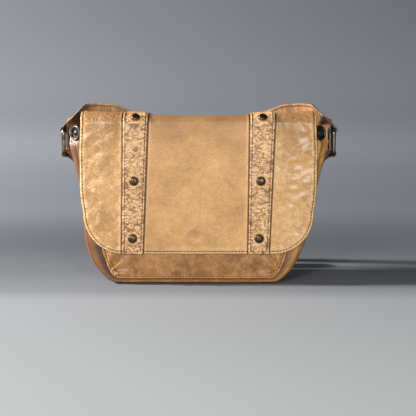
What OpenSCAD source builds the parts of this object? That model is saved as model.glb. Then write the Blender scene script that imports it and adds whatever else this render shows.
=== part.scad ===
// Crossbody bag in leather: a lined body with bulging side gussets, a wide flap with two
// riveted trim straps, a ring on each side and a buckled shoulder strap laid behind it.
// The origin is the centre of the base's underside, the front faces -Y and +Z is up.

/* [Body] */
// Width of the front and back panels at the mouth, seam to seam
panel_w = 232; // [210:1:250]
// Height of the panels and gussets
body_h = 170; // [155:1:185]
// Depth of the bag at its base, over the panels
base_d = 80; // [70:1:95]
// Depth of the bag at its mouth, over the panels
mouth_d = 64; // [56:1:70]
// Height of the lower panel seams over the floor
seam_rise = 6; // [5:0.5:8]
// Thickness of the front and back panels
panel_t = 2; // [1.6:0.1:2.6]
// Thickness of the gusset and base leather
gusset_t = 1.8; // [1.4:0.1:2.4]
// Thickness of the fabric lining
lining_t = 0.8; // [0.6:0.1:1.2]
// Thickness of the loose board on the base
board_t = 1.6; // [1.2:0.1:2.4]
// Height of the leather facings inside the mouth
facing_h = 26; // [18:1:36]
// Width of the slip pocket inside the back
pocket_w = 150; // [110:1:170]
// Height of the slip pocket
pocket_h = 95; // [70:1:110]

/* [Flap] */
// Width of the flap at its middle
flap_w = 249; // [240:1:252]
// Height of the flap's lower edge over the floor
flap_low = 33; // [26:1:42]
// How far the flap's crest stands over the mouth at its two ends
crest_rise = 14; // [12.5:0.5:18]
// How far the crest sags at its middle
flap_sag = 7; // [4:0.5:7.5]
// Radius of the flap's lower corners
corner_r = 42; // [30:1:50]
// Thickness of the flap's outer leather
flap_t = 2.2; // [1.8:0.1:2.6]
// Thickness of the flap's inner leather
flap_lining_t = 1.2; // [1:0.1:1.4]
// Gap between the closed flap and the front panel
flap_gap = 0.8; // [0.5:0.1:1.5]
// Height of the flap's sewn strip down the back
yoke_h = 22; // [16:1:30]

/* [Trim straps] */
// Width of a trim strap at the top of the flap
trim_top_w = 26; // [22:0.5:30]
// Width of a trim strap at the flap's lower edge
trim_low_w = 22; // [19:0.5:26]
// Thickness of a trim strap
trim_t = 1.8; // [1.4:0.1:2.4]
// Diameter of a rivet cap
rivet_d = 9; // [7:0.5:11]
// Diameter of a magnetic snap
snap_d = 18; // [14:0.5:19]

/* [Rings and tabs] */
// How much wider a side ring's opening is than the shoulder strap
ring_ease = 2; // [1.75:0.25:6]
// Height of the opening in a side ring
ring_in_h = 21; // [18:0.5:24]
// Diameter of the ring wire
ring_wire = 4.5; // [3.5:0.25:5]
// Thickness of a side tab
tab_t = 3; // [2.4:0.1:3.6]

/* [Shoulder strap] */
// Width of the shoulder strap
strap_w = 28; // [24:0.5:32]
// Thickness of the shoulder strap
strap_t = 2.6; // [2:0.1:3]
// Diameter of the buckle wire
buckle_wire = 3.5; // [3:0.25:4]
// Distance between the buckle's two bars
buckle_reach = 22; // [20:0.5:26]
// Diameter of the prong's wire
prong_d = 2.6; // [2:0.1:3]
// Width of the strap keeper
keeper_w = 8; // [6:0.5:9]

/* [Hidden] */
// How far a cut runs past the face that it starts from
overrun = 1;
// Clearance round a bar, a post or a snap in its hole
fit = 0.1;
// Gap between pieces that lie next to each other without touching
rest_gap = 0.4;
// Gap under a piece that lies on a curved one
lay_gap = 0.1;

leather = "#c9976a";
leather_dark = "#a87246";
fabric = "#8a7a66";
bronze = "#54493a";
silver = "#a8a397";

// Curves through chosen points, and shells between two grids of points

function slope_at(p, k) = (p[min(k + 1, len(p) - 1)] - p[max(k - 1, 0)]) / 2;
function between(a, b, ta, tb, t) =
    a * (2 * t * t * t - 3 * t * t + 1) + ta * (t * t * t - 2 * t * t + t)
    + b * (3 * t * t - 2 * t * t * t) + tb * (t * t * t - t * t);
function smooth(p, steps) = [for (k = [0:len(p) - 2], s = [0:steps - 1])
    between(p[k], p[k + 1], slope_at(p, k), slope_at(p, k + 1), s / steps), p[len(p) - 1]];
function unit(v) = v / norm(v);
function turned(p) = [for (k = [len(p) - 1:-1:0]) p[k]];

module shell(outer, inner) {
    rows = len(outer);
    cols = len(outer[0]);
    size = rows * cols;
    points = concat([for (row = outer) each row], [for (row = inner) each row]);
    function at(i, j) = i * cols + j;
    skin = [for (i = [0:rows - 2], j = [0:cols - 2])
        each [[at(i, j), at(i, j + 1), at(i + 1, j + 1)],
              [at(i, j), at(i + 1, j + 1), at(i + 1, j)]]];
    edge = concat([for (j = [0:cols - 1]) at(0, j)],
        [for (i = [1:rows - 1]) at(i, cols - 1)],
        [for (j = [cols - 2:-1:0]) at(rows - 1, j)],
        [for (i = [rows - 2:-1:1]) at(i, 0)]);
    last = len(edge);
    rim = [for (k = [0:last - 1])
        let (a = edge[k], b = edge[(k + 1) % last])
        each [[b, a, a + size], [b, a + size, b + size]]];
    polyhedron(points, concat(skin, [for (f = skin) [f[2] + size, f[1] + size, f[0] + size]], rim));
}

// Body: the seam path runs from the base up to the mouth on the right-hand side

base_half_share = 0.62;
seam_shares = [[base_half_share, 0], [0.735, 0.012], [0.80, 0.083], [0.862, 0.223],
    [0.90, 0.396], [0.935, 0.585], [0.97, 0.793], [1, 1]];
bulge_path_shares = [[base_half_share, 0], [0.78, 0.012], [0.925, 0.110], [1.018, 0.262],
    [1.038, 0.450], [1.085, 0.620], [1.150, 0.860], [1.150, 0.955]];
across_shares = [-1, -0.96, -0.86, -0.70, 0, 0.70, 0.86, 0.96, 1];
bulge_shares = [0, 0.45, 0.82, 1, 1, 1, 0.82, 0.45, 0];
path_steps = 3;
half_w = panel_w / 2;
base_half = half_w * base_half_share;
seam = smooth([for (s = seam_shares) [half_w * s[0], seam_rise + (body_h - seam_rise) * s[1]]],
    path_steps);
bulge_path = smooth([for (s = bulge_path_shares) [half_w * s[0], body_h * s[1]]], path_steps);

function half_depth(z) = (base_d - (base_d - mouth_d) * z / body_h) / 2;
function gusset_point(k, v, t) =
    let (out = bulge_path[k] - seam[k], reach = norm(out),
         p = seam[k] + out * bulge_shares[v] * (reach - t) / reach)
    [p[0], (half_depth(seam[k][1]) - t) * across_shares[v], p[1]];
function gusset_grid(t) = [for (k = [0:len(seam) - 1])
    [for (v = [0:len(across_shares) - 1]) gusset_point(k, v, t)]];
function base_section(t) = [for (p = gusset_grid(t)[0]) [p[1], p[2]]];
function clipped(path, low, high) = [for (p = path) if (p[1] > low && p[1] < high) p];
function seam_x(z) = lookup(z, [for (p = seam) [p[1], p[0]]]);
function seam_from(low, high) = concat([[seam_x(low), low]], clipped(seam, low, high),
    [[seam_x(high), high]]);

module side_shell(t_out, t_in) {
    shell(gusset_grid(t_out), gusset_grid(t_in));
}

module base_strip(t_out, t_in) {
    translate([-base_half, 0, 0])
        rotate([90, 0, 90])
            linear_extrude(height = 2 * base_half)
                polygon(concat(base_section(t_out), turned(base_section(t_in))));
}

// A flat sheet that leans with a panel: t_out and t_in are depths in from the panel's face
module sheet(right_edge, t_out, t_in, side) {
    outline = concat(right_edge, [for (p = turned(right_edge)) [-p[0], p[1]]]);
    count = len(outline);
    points = concat([for (p = outline) [p[0], side * (half_depth(p[1]) - t_out), p[1]]],
        [for (p = outline) [p[0], side * (half_depth(p[1]) - t_in), p[1]]]);
    front = [for (k = [0:count - 1]) k];
    back = [for (k = [count - 1:-1:0]) k + count];
    sides = [for (k = [0:count - 1]) let (n = (k + 1) % count) [n, k, k + count, n + count]];
    faces = concat([front], [back], sides);
    polyhedron(points, side < 0 ? [for (f = faces) turned(f)] : faces);
}

module gusset_right() {
    color(leather)
        difference() {
            side_shell(0, gusset_t);
            gusset_snap_hole();
        }
}

module gusset_left() {
    mirror([1, 0, 0]) gusset_right();
}

module base_panel() {
    color(leather_dark) base_strip(0, gusset_t);
}

module back_panel() {
    color(leather) sheet(seam_from(seam_rise, body_h), 0, panel_t, 1);
}

module front_panel() {
    color(leather)
        difference() {
            sheet(seam_from(seam_rise, body_h), 0, panel_t, -1);
            at_snaps() snap_hole();
        }
}

module lining_right() {
    color(fabric)
        difference() {
            side_shell(gusset_t, gusset_t + lining_t);
            gusset_snap_hole();
        }
}

module lining_left() {
    mirror([1, 0, 0]) lining_right();
}

module lining_base() {
    color(fabric) base_strip(gusset_t, gusset_t + lining_t);
}

lining_low = seam_rise + gusset_t;
lining_high = body_h - facing_h;
inside_gap = gusset_t + lining_t + rest_gap;
lining_face = panel_t + lay_gap;

function inset_edge(low, high, inset) = [for (p = seam_from(low, high)) [p[0] - inset, p[1]]];

module lining_sheet(side) {
    color(fabric)
        sheet(inset_edge(lining_low, lining_high, inside_gap), lining_face,
            lining_face + lining_t, side);
}

module lining_back() {
    lining_sheet(1);
}

module lining_front() {
    difference() {
        lining_sheet(-1);
        at_snaps() snap_hole();
    }
}

module facing_sheet(side) {
    color(leather_dark)
        sheet(inset_edge(lining_high, body_h, inside_gap), lining_face,
            lining_face + lining_t, side);
}

module facing_back() {
    facing_sheet(1);
}

module facing_front() {
    facing_sheet(-1);
}

pocket_low = lining_low + facing_h / 2;

module slip_pocket() {
    color(fabric)
        sheet([[pocket_w / 2, pocket_low], [pocket_w / 2, pocket_low + pocket_h]],
            lining_face + lining_t + lay_gap, lining_face + 2 * lining_t + lay_gap, 1);
}

board_z = gusset_t + lining_t;
board_d = 2 * across_shares[5] * (half_depth(seam_rise) - board_z);

module base_board() {
    color(leather_dark)
        translate([-base_half, -board_d / 2, board_z])
            cube([2 * base_half, board_d, board_t]);
}

// Flap: a profile from the hinge over the mouth and down the front, and a width for each row

hinge_bead_r = flap_t * 0.55;
hinge_y = mouth_d / 2 + hinge_bead_r;
hinge_z = body_h + 2 * hinge_bead_r + rest_gap;
flap_full_t = flap_t + flap_lining_t;
flap_half = flap_w / 2;
flap_top_half = flap_half - corner_r * 0.03;
corner_x = flap_half - corner_r * 1.08;
corner_z = flap_low + corner_r;

flap_crest = body_h + crest_rise;
fold_r = crest_rise * 1.14;

function flap_front_y(z) = -(half_depth(z) + flap_gap + flap_full_t);
fold_z = flap_crest - fold_r;
fold_y = flap_front_y(fold_z) + fold_r;
rise_shares = [[0, 0], [0.10, 0.16], [0.28, 0.48], [0.52, 0.78], [0.78, 0.96], [1, 1]];
fold_steps = 6;
front_steps = 4;
corner_steps = 7;
rise_y = hinge_y - hinge_bead_r - flap_t * 0.35;
rise_z = hinge_z + flap_t / 2;
// Each row holds the outer surface's y and z, its half width and its share of the sag
rise_rows = [for (s = rise_shares)
    [rise_y + (fold_y - rise_y) * s[0], rise_z + (flap_crest - rise_z) * s[1],
     flap_top_half, s[1]]];
fold_rows = [for (k = [1:fold_steps])
    let (a = 90 * k / fold_steps)
    [fold_y - fold_r * sin(a), fold_z + fold_r * cos(a), flap_top_half, cos(a) * cos(a)]];
front_rows = [for (k = [1:front_steps])
    let (z = fold_z + (corner_z - fold_z) * k / front_steps)
    [flap_front_y(z), z, k == front_steps ? corner_x + corner_r : flap_half, 0]];
function corner_rows(inset) = [for (k = [1:corner_steps])
    let (a = 90 * k / corner_steps, z = corner_z - (corner_r - inset) * sin(a))
    [flap_front_y(z), z, corner_x + inset + (corner_r - inset) * cos(a), 0]];
function flap_rows(inset) = concat(rise_rows, fold_rows, front_rows, corner_rows(inset));
function sag_at(row, x) = flap_sag * row[3] * cos(90 * x / flap_half);
function row_at(rows, k, x) =
    let (row = rows[max(0, min(k, len(rows) - 1))])
    [row[0], row[1] - sag_at(row, x)];
function row_normal(rows, k, x) =
    let (d = unit(row_at(rows, k + 1, x) - row_at(rows, k - 1, x)))
    [d[1], -d[0]];
function flap_point(rows, k, x, lift) =
    let (p = row_at(rows, k, x) + row_normal(rows, k, x) * lift)
    [x, p[0], p[1]];

column_shares = [-1, -0.75, -0.5, -0.25, 0, 0.25, 0.5, 0.75, 1];
side_shares = [0.35, 0.7, 1];
function flap_xs(row, inset) =
    let (mid = [for (s = column_shares) s * (corner_x - corner_r * 0.05)], reach = corner_x
        - corner_r * 0.05, far = row[2] - inset)
    concat([for (s = turned(side_shares)) -(reach + (far - reach) * s)], mid,
        [for (s = side_shares) reach + (far - reach) * s]);
function flap_grid(lift, inset) =
    let (rows = flap_rows(inset))
    [for (k = [0:len(rows) - 1]) [for (x = flap_xs(rows[k], inset))
        flap_point(rows, k, x, lift)]];
function rows_from(grid, first) = [for (k = [first:len(grid) - 1]) grid[k]];

flap_edge_inset = 1.2 * flap_lining_t;

module flap_panel() {
    color(leather)
        difference() {
            shell(flap_grid(-flap_t, 0), flap_grid(0, 0));
            at_rivets() rivet_hole();
        }
}

// The rolled edge that the flap turns on, along the top of the back
module flap_hinge_welt() {
    color(leather)
        translate([-flap_top_half, hinge_y, hinge_z])
            rotate([0, 90, 0])
                cylinder(r = hinge_bead_r, h = 2 * flap_top_half, $fn = 48);
}

module flap_lining() {
    color(leather_dark)
        difference() {
            shell(rows_from(flap_grid(-flap_full_t, flap_edge_inset), 1),
                rows_from(flap_grid(-flap_t - lay_gap, flap_edge_inset), 1));
            at_rivets() rivet_hole();
            at_snaps() snap_hole();
        }
}

module flap_yoke() {
    edge = [[half_w, body_h - yoke_h], [half_w, hinge_z - hinge_bead_r - rest_gap]];
    color(leather) sheet(edge, -flap_t, 0, 1);
}

// Trim straps: a centre line and a width from the top of the flap to its lower edge

trim_top_left_share = -0.562;
trim_low_left_share = -0.600;
trim_top_right_share = 0.580;
trim_low_right_share = 0.545;
trim_first_row = 2;
trim_face = lay_gap + trim_t;

function trim_share(z) = max(0, min(1, (flap_crest - z) / (flap_crest - flap_low)));
function trim_x(side, z) = half_w * (side < 0
    ? trim_top_left_share + (trim_low_left_share - trim_top_left_share) * trim_share(z)
    : trim_top_right_share + (trim_low_right_share - trim_top_right_share) * trim_share(z));
function trim_half(z) = (trim_top_w + (trim_low_w - trim_top_w) * trim_share(z)) / 2;
trim_column_shares = [-1, 0, 1];
function trim_grid(side, lift) =
    let (rows = flap_rows(0))
    [for (k = [trim_first_row:len(rows) - 1]) let (z = rows[k][1])
        [for (s = trim_column_shares)
            flap_point(rows, k, trim_x(side, z) + s * trim_half(z), lift)]];

module trim_strap(side) {
    color(leather_dark)
        difference() {
            shell(trim_grid(side, lay_gap), trim_grid(side, trim_face));
            at_rivets() rivet_hole();
        }
}

module trim_strap_left() {
    trim_strap(-1);
}

module trim_strap_right() {
    trim_strap(1);
}

// Rivets: one on the fold and two down the front of each trim strap

mid_rivet_z = flap_low + (flap_crest - flap_low) * 0.51;
low_rivet_z = flap_low + (flap_crest - flap_low) * 0.11;
fold_rivet_row = len(rise_shares) + fold_steps / 2 - 1;
rivet_post_r = rivet_d * 0.17;
rivet_cap_h = rivet_d * 0.24;
rivet_back_r = rivet_d * 0.3;
rivet_back_h = flap_gap * 0.6;
trim_half_low = trim_low_w / 2;
// The fold's inner face curves away from a flat cap by this much
fold_in_r = (fold_r - flap_full_t) * 0.6;
fold_seat = fold_in_r - sqrt(fold_in_r * fold_in_r - rivet_back_r * rivet_back_r) + lay_gap;
front_lean = atan((base_d - mouth_d) / 2 / body_h);

// Places children with +Z out of the flap's outer face and the origin on that face
module at_row(side, k) {
    rows = flap_rows(0);
    x = trim_x(side, rows[k][1]);
    n = row_normal(rows, k, x);
    tilt = n[1] * (sag_at(rows[k], x - trim_half_low) - sag_at(rows[k], x + trim_half_low));
    translate(flap_point(rows, k, x, 0))
        rotate([90 + atan2(-n[1], -n[0]), 0, 0])
            rotate([0, -atan2(tilt, 2 * trim_half_low), 0])
                children();
}

module at_front(side, z) {
    translate([trim_x(side, z), flap_front_y(z), z])
        rotate([90 - front_lean, 0, 0])
            children();
}

module at_rivets() {
    for (side = [-1, 1]) {
        at_row(side, fold_rivet_row) children();
        for (z = [mid_rivet_z, low_rivet_z])
            at_front(side, z) children();
    }
}

module at_snaps() {
    for (side = [-1, 1])
        at_front(side, low_rivet_z) children();
}

module rivet_hole() {
    translate([0, 0, -flap_full_t - overrun])
        cylinder(r = rivet_post_r + fit, h = flap_full_t + trim_face + 2 * overrun, $fn = 32);
}

module rivet_cap() {
    cap_r = rivet_d / 2;
    seat = trim_face + lay_gap;
    foot = fit - flap_t;
    rotate_extrude($fn = 48)
        polygon([[0, foot], [rivet_post_r, foot], [rivet_post_r, seat], [cap_r, seat],
            [cap_r, seat + rivet_cap_h * 0.3], [cap_r * 0.86, seat + rivet_cap_h * 0.68],
            [cap_r * 0.5, seat + rivet_cap_h * 0.93], [0, seat + rivet_cap_h]]);
}

module flap_rivets() {
    color(bronze) at_rivets() rivet_cap();
}

module rivet_back(seat) {
    translate([0, 0, -flap_full_t - seat])
        cylinder(r = rivet_post_r, h = flap_lining_t + seat, $fn = 32);
    translate([0, 0, -flap_full_t - seat - rivet_back_h])
        cylinder(r = rivet_back_r, h = rivet_back_h, $fn = 48);
}

module flap_rivet_backs() {
    color(bronze) {
        for (side = [-1, 1]) {
            at_row(side, fold_rivet_row) rivet_back(fold_seat);
            at_front(side, mid_rivet_z) rivet_back(0);
        }
    }
}

// Magnetic snaps: the stud in the flap's lining, the socket in the front panel

snap_r = snap_d / 2;
snap_face = -flap_full_t;
socket_face = snap_face - flap_gap;
nub_r = snap_d * 0.14;
nub_h = flap_gap + panel_t * 0.4;
socket_bore_r = nub_r + snap_d * 0.08;

module snap_hole() {
    translate([0, 0, socket_face - panel_t - lining_t - overrun])
        cylinder(r = snap_r + fit,
            h = panel_t + lining_t + flap_gap + flap_lining_t + 2 * overrun, $fn = 48);
}

module snap_studs() {
    color(silver)
        at_snaps() {
            translate([0, 0, snap_face])
                cylinder(r = snap_r, h = flap_lining_t, $fn = 48);
            translate([0, 0, snap_face - nub_h])
                cylinder(r1 = nub_r * 0.8, r2 = nub_r, h = nub_h, $fn = 48);
        }
}

module snap_sockets() {
    color(silver)
        at_snaps()
            translate([0, 0, socket_face - panel_t])
                difference() {
                    cylinder(r = snap_r, h = panel_t, $fn = 48);
                    translate([0, 0, panel_t * 0.4])
                        cylinder(r = socket_bore_r, h = panel_t + overrun, $fn = 48);
                }
}

module snap_backs() {
    color(silver)
        at_snaps()
            translate([0, 0, socket_face - panel_t - lining_t])
                cylinder(r = snap_r, h = lining_t, $fn = 48);
}

// Gusset snaps: a cap on the outside and a cap on the inside of each gusset near its rim

gusset_snap_k = len(seam) - 3;
gusset_snap_r = rivet_d * 0.72;
gusset_snap_t = rivet_d * 0.22;

module at_gusset_snap() {
    a = bulge_path[gusset_snap_k - 1];
    b = bulge_path[gusset_snap_k + 1];
    turn = atan2(b[0] - a[0], b[1] - a[1]);
    c = (bulge_path[gusset_snap_k] + bulge_path[gusset_snap_k + 1]) / 2;
    translate([c[0], 0, c[1]])
        rotate([0, 90 + turn, 0])
            children();
}

module gusset_snap_hole() {
    at_gusset_snap()
        translate([0, 0, -gusset_t - lining_t - 2 * overrun])
            cylinder(r = rivet_post_r + fit, h = gusset_t + lining_t + 3 * overrun, $fn = 32);
}

module gusset_snap_studs() {
    color(silver)
        for (side = [0, 1])
            mirror([side, 0, 0])
                at_gusset_snap() {
                    translate([0, 0, rest_gap / 2])
                        cylinder(r1 = gusset_snap_r, r2 = gusset_snap_r * 0.8,
                            h = gusset_snap_t, $fn = 48);
                    translate([0, 0, -gusset_t - lining_t - rest_gap])
                        cylinder(r = rivet_post_r, h = gusset_t + lining_t + 2 * rest_gap, $fn = 32);
                }
}

module gusset_snap_sockets() {
    color(silver)
        for (side = [0, 1])
            mirror([side, 0, 0])
                at_gusset_snap()
                    translate([0, 0, -gusset_t - lining_t - rest_gap - gusset_snap_t])
                        cylinder(r1 = gusset_snap_r * 0.8, r2 = gusset_snap_r,
                            h = gusset_snap_t, $fn = 48);
}

// Side rings: each stands on end with its lower bar in the tab and its upper in the strap

bar_r = ring_wire / 2;
ring_in_w = strap_w + ring_ease;
tab_w = strap_w * 0.96;
ring_x = bulge_path[len(seam) - 1][0] + tab_t + 2 * bar_r + ring_wire * 0.75;
ring_low_z = body_h * 0.80;
ring_high_z = ring_low_z + ring_in_h + ring_wire;
ring_corner_r = ring_wire * 0.8;
ring_half_y = (ring_in_w + ring_wire) / 2;
ring_y = mouth_d * 0.1;

module bar_y(half) {
    rotate([90, 0, 0]) cylinder(r = bar_r, h = 2 * half, center = true, $fn = 48);
}

module ring() {
    straight_y = ring_half_y - ring_corner_r;
    straight_z = (ring_high_z - ring_low_z) / 2 - ring_corner_r;
    mid_z = (ring_high_z + ring_low_z) / 2;
    color(silver)
        translate([ring_x, ring_y, mid_z]) {
            for (s = [-1, 1]) {
                translate([0, 0, s * (straight_z + ring_corner_r)]) bar_y(straight_y);
                translate([0, s * (straight_y + ring_corner_r), 0])
                    cylinder(r = bar_r, h = 2 * straight_z, center = true, $fn = 48);
            }
            for (a = [0:90:270])
                rotate([a, 0, 0])
                    ring_corner(a % 180 == 0 ? straight_y : straight_z,
                        a % 180 == 0 ? straight_z : straight_y);
        }
}

module ring_corner(y, z) {
    translate([0, y, z])
        rotate([0, -90, 0])
            rotate_extrude(angle = 90, $fn = 48)
                translate([ring_corner_r, 0])
                    circle(r = bar_r, $fn = 48);
}

module ring_right() {
    ring();
}

module ring_left() {
    mirror([1, 0, 0]) ring();
}

// Side tabs: a strip lying on the gusset whose top is folded round the ring's lower bar

tab_first_k = 13;
tab_last_k = 17;
loop_r = bar_r + fit + tab_t * 0.8;
grip_shares = [0.60, 0.78];

function path_out(k) =
    let (d = unit(bulge_path[k + 1] - bulge_path[k - 1]))
    [d[1], -d[0]];

module side_tab_right() {
    inner = [for (k = [tab_first_k:tab_last_k]) bulge_path[k]];
    outer = [for (k = [tab_first_k:tab_last_k]) bulge_path[k] + path_out(k) * tab_t];
    bar = [ring_x, ring_low_z];
    start = (inner[len(inner) - 1] + outer[len(outer) - 1]) / 2;
    along = unit(bar - start);
    grip = bar - along * loop_r * grip_shares[0];
    up = [-along[1], along[0]] * loop_r * grip_shares[1];
    color(leather_dark)
        difference() {
            translate([0, ring_y + tab_w / 2, 0])
                rotate([90, 0, 0]) {
                    linear_extrude(height = tab_w)
                        polygon(concat(inner, [grip + up, grip - up], turned(outer)));
                    translate(bar) cylinder(r = loop_r, h = tab_w, $fn = 64);
                }
            translate([ring_x, ring_y + tab_w / 2 + overrun, ring_low_z])
                rotate([90, 0, 0])
                    cylinder(r = bar_r + fit, h = tab_w + 2 * overrun, $fn = 64);
            at_tab_rivet() tab_rivet_hole();
        }
}

module side_tab_left() {
    mirror([1, 0, 0]) side_tab_right();
}

tab_rivet_k = 15;
tab_rivet_r = rivet_d * 0.4;

module at_tab_rivet() {
    c = bulge_path[tab_rivet_k];
    d = unit(bulge_path[tab_rivet_k + 1] - bulge_path[tab_rivet_k]);
    translate([c[0], ring_y, c[1]])
        rotate([0, atan2(d[1], -d[0]), 0])
            children();
}

module tab_rivet_hole() {
    translate([0, 0, -overrun])
        cylinder(r = rivet_post_r + fit, h = tab_t + 2 * overrun, $fn = 32);
}

module tab_rivets() {
    color(bronze)
        for (side = [0, 1])
            mirror([side, 0, 0])
                at_tab_rivet() {
                    translate([0, 0, rest_gap])
                        cylinder(r = rivet_post_r, h = tab_t + lay_gap - rest_gap, $fn = 32);
                    translate([0, 0, tab_t + lay_gap])
                        cylinder(r1 = tab_rivet_r, r2 = tab_rivet_r * 0.6, h = rivet_cap_h / 2,
                            $fn = 48);
                }
}

// Shoulder strap: a ribbon along a route, twisting from flat at the rings to on edge

strap_loop_r = bar_r + fit + strap_t * 0.8;
floor_z = strap_w / 2 + rest_gap;
buckle_z = floor_z + buckle_wire;
run_gap = base_d * 0.3;
run_y = base_d / 2 + strap_t + run_gap * 0.16;
run_half_share = 0.76;

// Each place is shares of the panel's half width, the run spacing and the body's height.
// On the arcs over the gussets three more shares give the way that the ribbon's width points
arc_shares = [[1.220, -1.50, 0.918, -0.25, -0.95, 0.05],
    [1.192, -1.26, 0.934, -0.45, -0.80, 0.35], [1.151, -0.79, 0.940, -0.42, -0.50, 0.70],
    [1.099, -0.21, 0.938, -0.24, 0, 0.95], [1.0216, 0.03, 0.940, -0.12, -0.04, 0.98],
    [0.9224, 0.12, 0.937, -0.03, -0.03, 1], [0.776, 0.15, 0.922, 0, 0, 1]];
right_fall_shares = [[0.517, 0.45, 0.820], [0.31, 0.85, 0.635], [0.16, 1.4, 0.40],
    [0.06, 1.85, 0.20], [-0.045, 2, 0.075], [-0.165, 2, 0.026]];
left_fall_shares = [[-0.517, 0.20, 0.826], [-0.26, 0.17, 0.668], [0, 0.13, 0.46],
    [0.24, 0.07, 0.25], [0.44, 0.02, 0.092], [0.60, 0, 0.010], [0.73, 0, 0]];
first_turn_shares = [[0.815, 0.14, 0], [0.85, 0.5, 0], [0.815, 0.86, 0], [0.72, 1, 0]];
middle_run_shares = [[0.36, 1, 0], [0, 1, 0], [-0.36, 1, 0]];
second_turn_shares = [[-0.72, 1, 0], [-0.815, 1.12, 0.008], [-0.85, 1.46, 0.0206]];
buckle_share = -0.565;
keeper_run_share = -0.285;
tail_share = -0.24;
strap_steps = 3;
// The ribbon's width points up where it stands on edge, square to its run
on_edge = [0, 0, 1, 1];

function place(s) = [half_w * s[0], run_y + run_gap * s[1], floor_z + body_h * s[2],
    each len(s) > 3 ? [s[3], s[4], s[5], 0] : on_edge];
function at_buckle(x, y) = [x, y, buckle_z, each on_edge];
function mirrored(shares) = [for (s = shares) [for (k = [0:5]) k % 3 == 0 ? -s[k] : s[k]]];
ring_start_z = ring_high_z + bar_r + fit + strap_t / 2 + 2 * rest_gap;
start_right = [ring_x, ring_y, ring_start_z, 0, -1, 0, 0];
start_left = [-ring_x, ring_y, ring_start_z, 0, -1, 0, 0];
buckle_x = half_w * buckle_share;
buckle_y = run_y + 2 * run_gap;
bar_loop_r = buckle_wire / 2 + fit + strap_t * 0.75;
keeper_x = buckle_x + bar_loop_r + rest_gap + prong_d;
slider_x = keeper_x + keeper_w + 1.5 * rest_gap;
right_stations = smooth(concat([start_right], [for (s = arc_shares) place(s)],
    [for (s = right_fall_shares) place(s)],
    [at_buckle(half_w * keeper_run_share, buckle_y),
     at_buckle(buckle_x + bar_loop_r + lay_gap, buckle_y)]), strap_steps);
// The strap dips under the buckle's far bar and rises over the bar that holds it
dip_y = buckle_y - buckle_wire / 2 - strap_t / 2 - rest_gap;
ride_y = buckle_y + bar_loop_r + strap_t / 2 + rest_gap;
left_route = concat([start_left], [for (s = mirrored(arc_shares)) place(s)],
    [for (s = left_fall_shares) place(s)], [for (s = first_turn_shares) place(s)],
    [for (s = middle_run_shares) place(s)], [for (s = second_turn_shares) place(s)]);
tongue_route = [at_buckle(buckle_x - 1.2 * buckle_reach, dip_y),
    at_buckle(buckle_x - buckle_reach, dip_y),
    at_buckle(buckle_x - buckle_reach * 0.45, (dip_y + ride_y) / 2), at_buckle(buckle_x, ride_y),
    at_buckle((buckle_x + half_w * tail_share) / 2, ride_y),
    at_buckle(half_w * tail_share, ride_y)];
left_stations = smooth(concat(left_route, tongue_route), strap_steps);
tongue_first_k = len(left_route) * strap_steps;

function spot(s) = [s[0], s[1], s[2]];
function travel(st, k) = unit(spot(st[min(k + 1, len(st) - 1)]) - spot(st[max(k - 1, 0)]));
function width_way(st, k) =
    let (d = travel(st, k), raw = [st[k][3], st[k][4], st[k][5]])
    unit(raw - d * (raw * d) * st[k][6]);
// Four corners of the ribbon at station k
function ribbon_ring(st, k, wide, thick) =
    let (w = width_way(st, k) * wide / 2, n = unit(cross(travel(st, k), w)) * thick / 2, c = spot(st[k]))
    [c - w - n, c + w - n, c + w + n, c - w + n];

module ribbon(st, first, last, wide, thick) {
    count = last - first + 1;
    points = [for (k = [first:last]) each ribbon_ring(st, k, wide, thick)];
    sides = [for (i = [0:count - 2], j = [0:3])
        let (a = 4 * i + j, b = 4 * i + (j + 1) % 4)
        each [[a, b, b + 4], [a, b + 4, a + 4]]];
    top = 4 * (count - 1);
    polyhedron(points, concat([[3, 2, 1, 0]], sides, [[top, top + 1, top + 2, top + 3]]));
}

end_last_k = 6 * strap_steps;

strap_loop_half = strap_w / 2 * 0.94;

// The end of the strap, folded over the ring's upper bar under the ribbon and riveted
module strap_loop() {
    translate([ring_x, ring_y + strap_loop_half, ring_high_z])
        rotate([90, 0, 0])
            linear_extrude(height = 2 * strap_loop_half)
                difference() {
                    circle(r = strap_loop_r, $fn = 64);
                    circle(r = bar_r + fit, $fn = 64);
                    translate([-2 * strap_loop_r, bar_r])
                        square([4 * strap_loop_r, 2 * strap_loop_r]);
                }
}

module strap_loop_right() {
    color(leather_dark) strap_loop();
}

module strap_loop_left() {
    mirror([1, 0, 0]) strap_loop_right();
}

module strap_end_right() {
    color(leather) ribbon(right_stations, 0, end_last_k, strap_w, strap_t);
}

module strap_end_left() {
    color(leather) ribbon(left_stations, 0, end_last_k, strap_w, strap_t);
}

module strap_short() {
    color(leather)
        ribbon(right_stations, end_last_k, len(right_stations) - 1, strap_w, strap_t);
}

prong_slot = prong_d * 2;

// The end of the short strap, folded round the buckle's bar and slotted for the prong
module strap_buckle_fold() {
    color(leather_dark)
        translate([buckle_x, buckle_y, buckle_z - strap_w / 2])
            difference() {
                cylinder(r = bar_loop_r, h = strap_w, $fn = 64);
                translate([0, 0, -overrun])
                    cylinder(r = buckle_wire / 2 + fit, h = strap_w + 2 * overrun, $fn = 64);
                translate([-bar_loop_r - overrun, -bar_loop_r - overrun,
                        (strap_w - prong_slot) / 2])
                    cube([2 * (bar_loop_r + overrun), 2 * (bar_loop_r + overrun), prong_slot]);
            }
}

module strap_long() {
    color(leather) ribbon(left_stations, end_last_k, tongue_first_k, strap_w, strap_t);
}

hole_r = prong_d;

module strap_tongue() {
    color(leather)
        difference() {
            ribbon(left_stations, tongue_first_k, len(left_stations) - 1, strap_w, strap_t);
            translate([buckle_x - buckle_reach * 0.45 - 2.2 * hole_r, dip_y - strap_t,
                    buckle_z - hole_r])
                cube([buckle_reach * 0.45 + 3 * hole_r, ride_y - dip_y + 2 * strap_t, 2 * hole_r]);
        }
}

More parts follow.
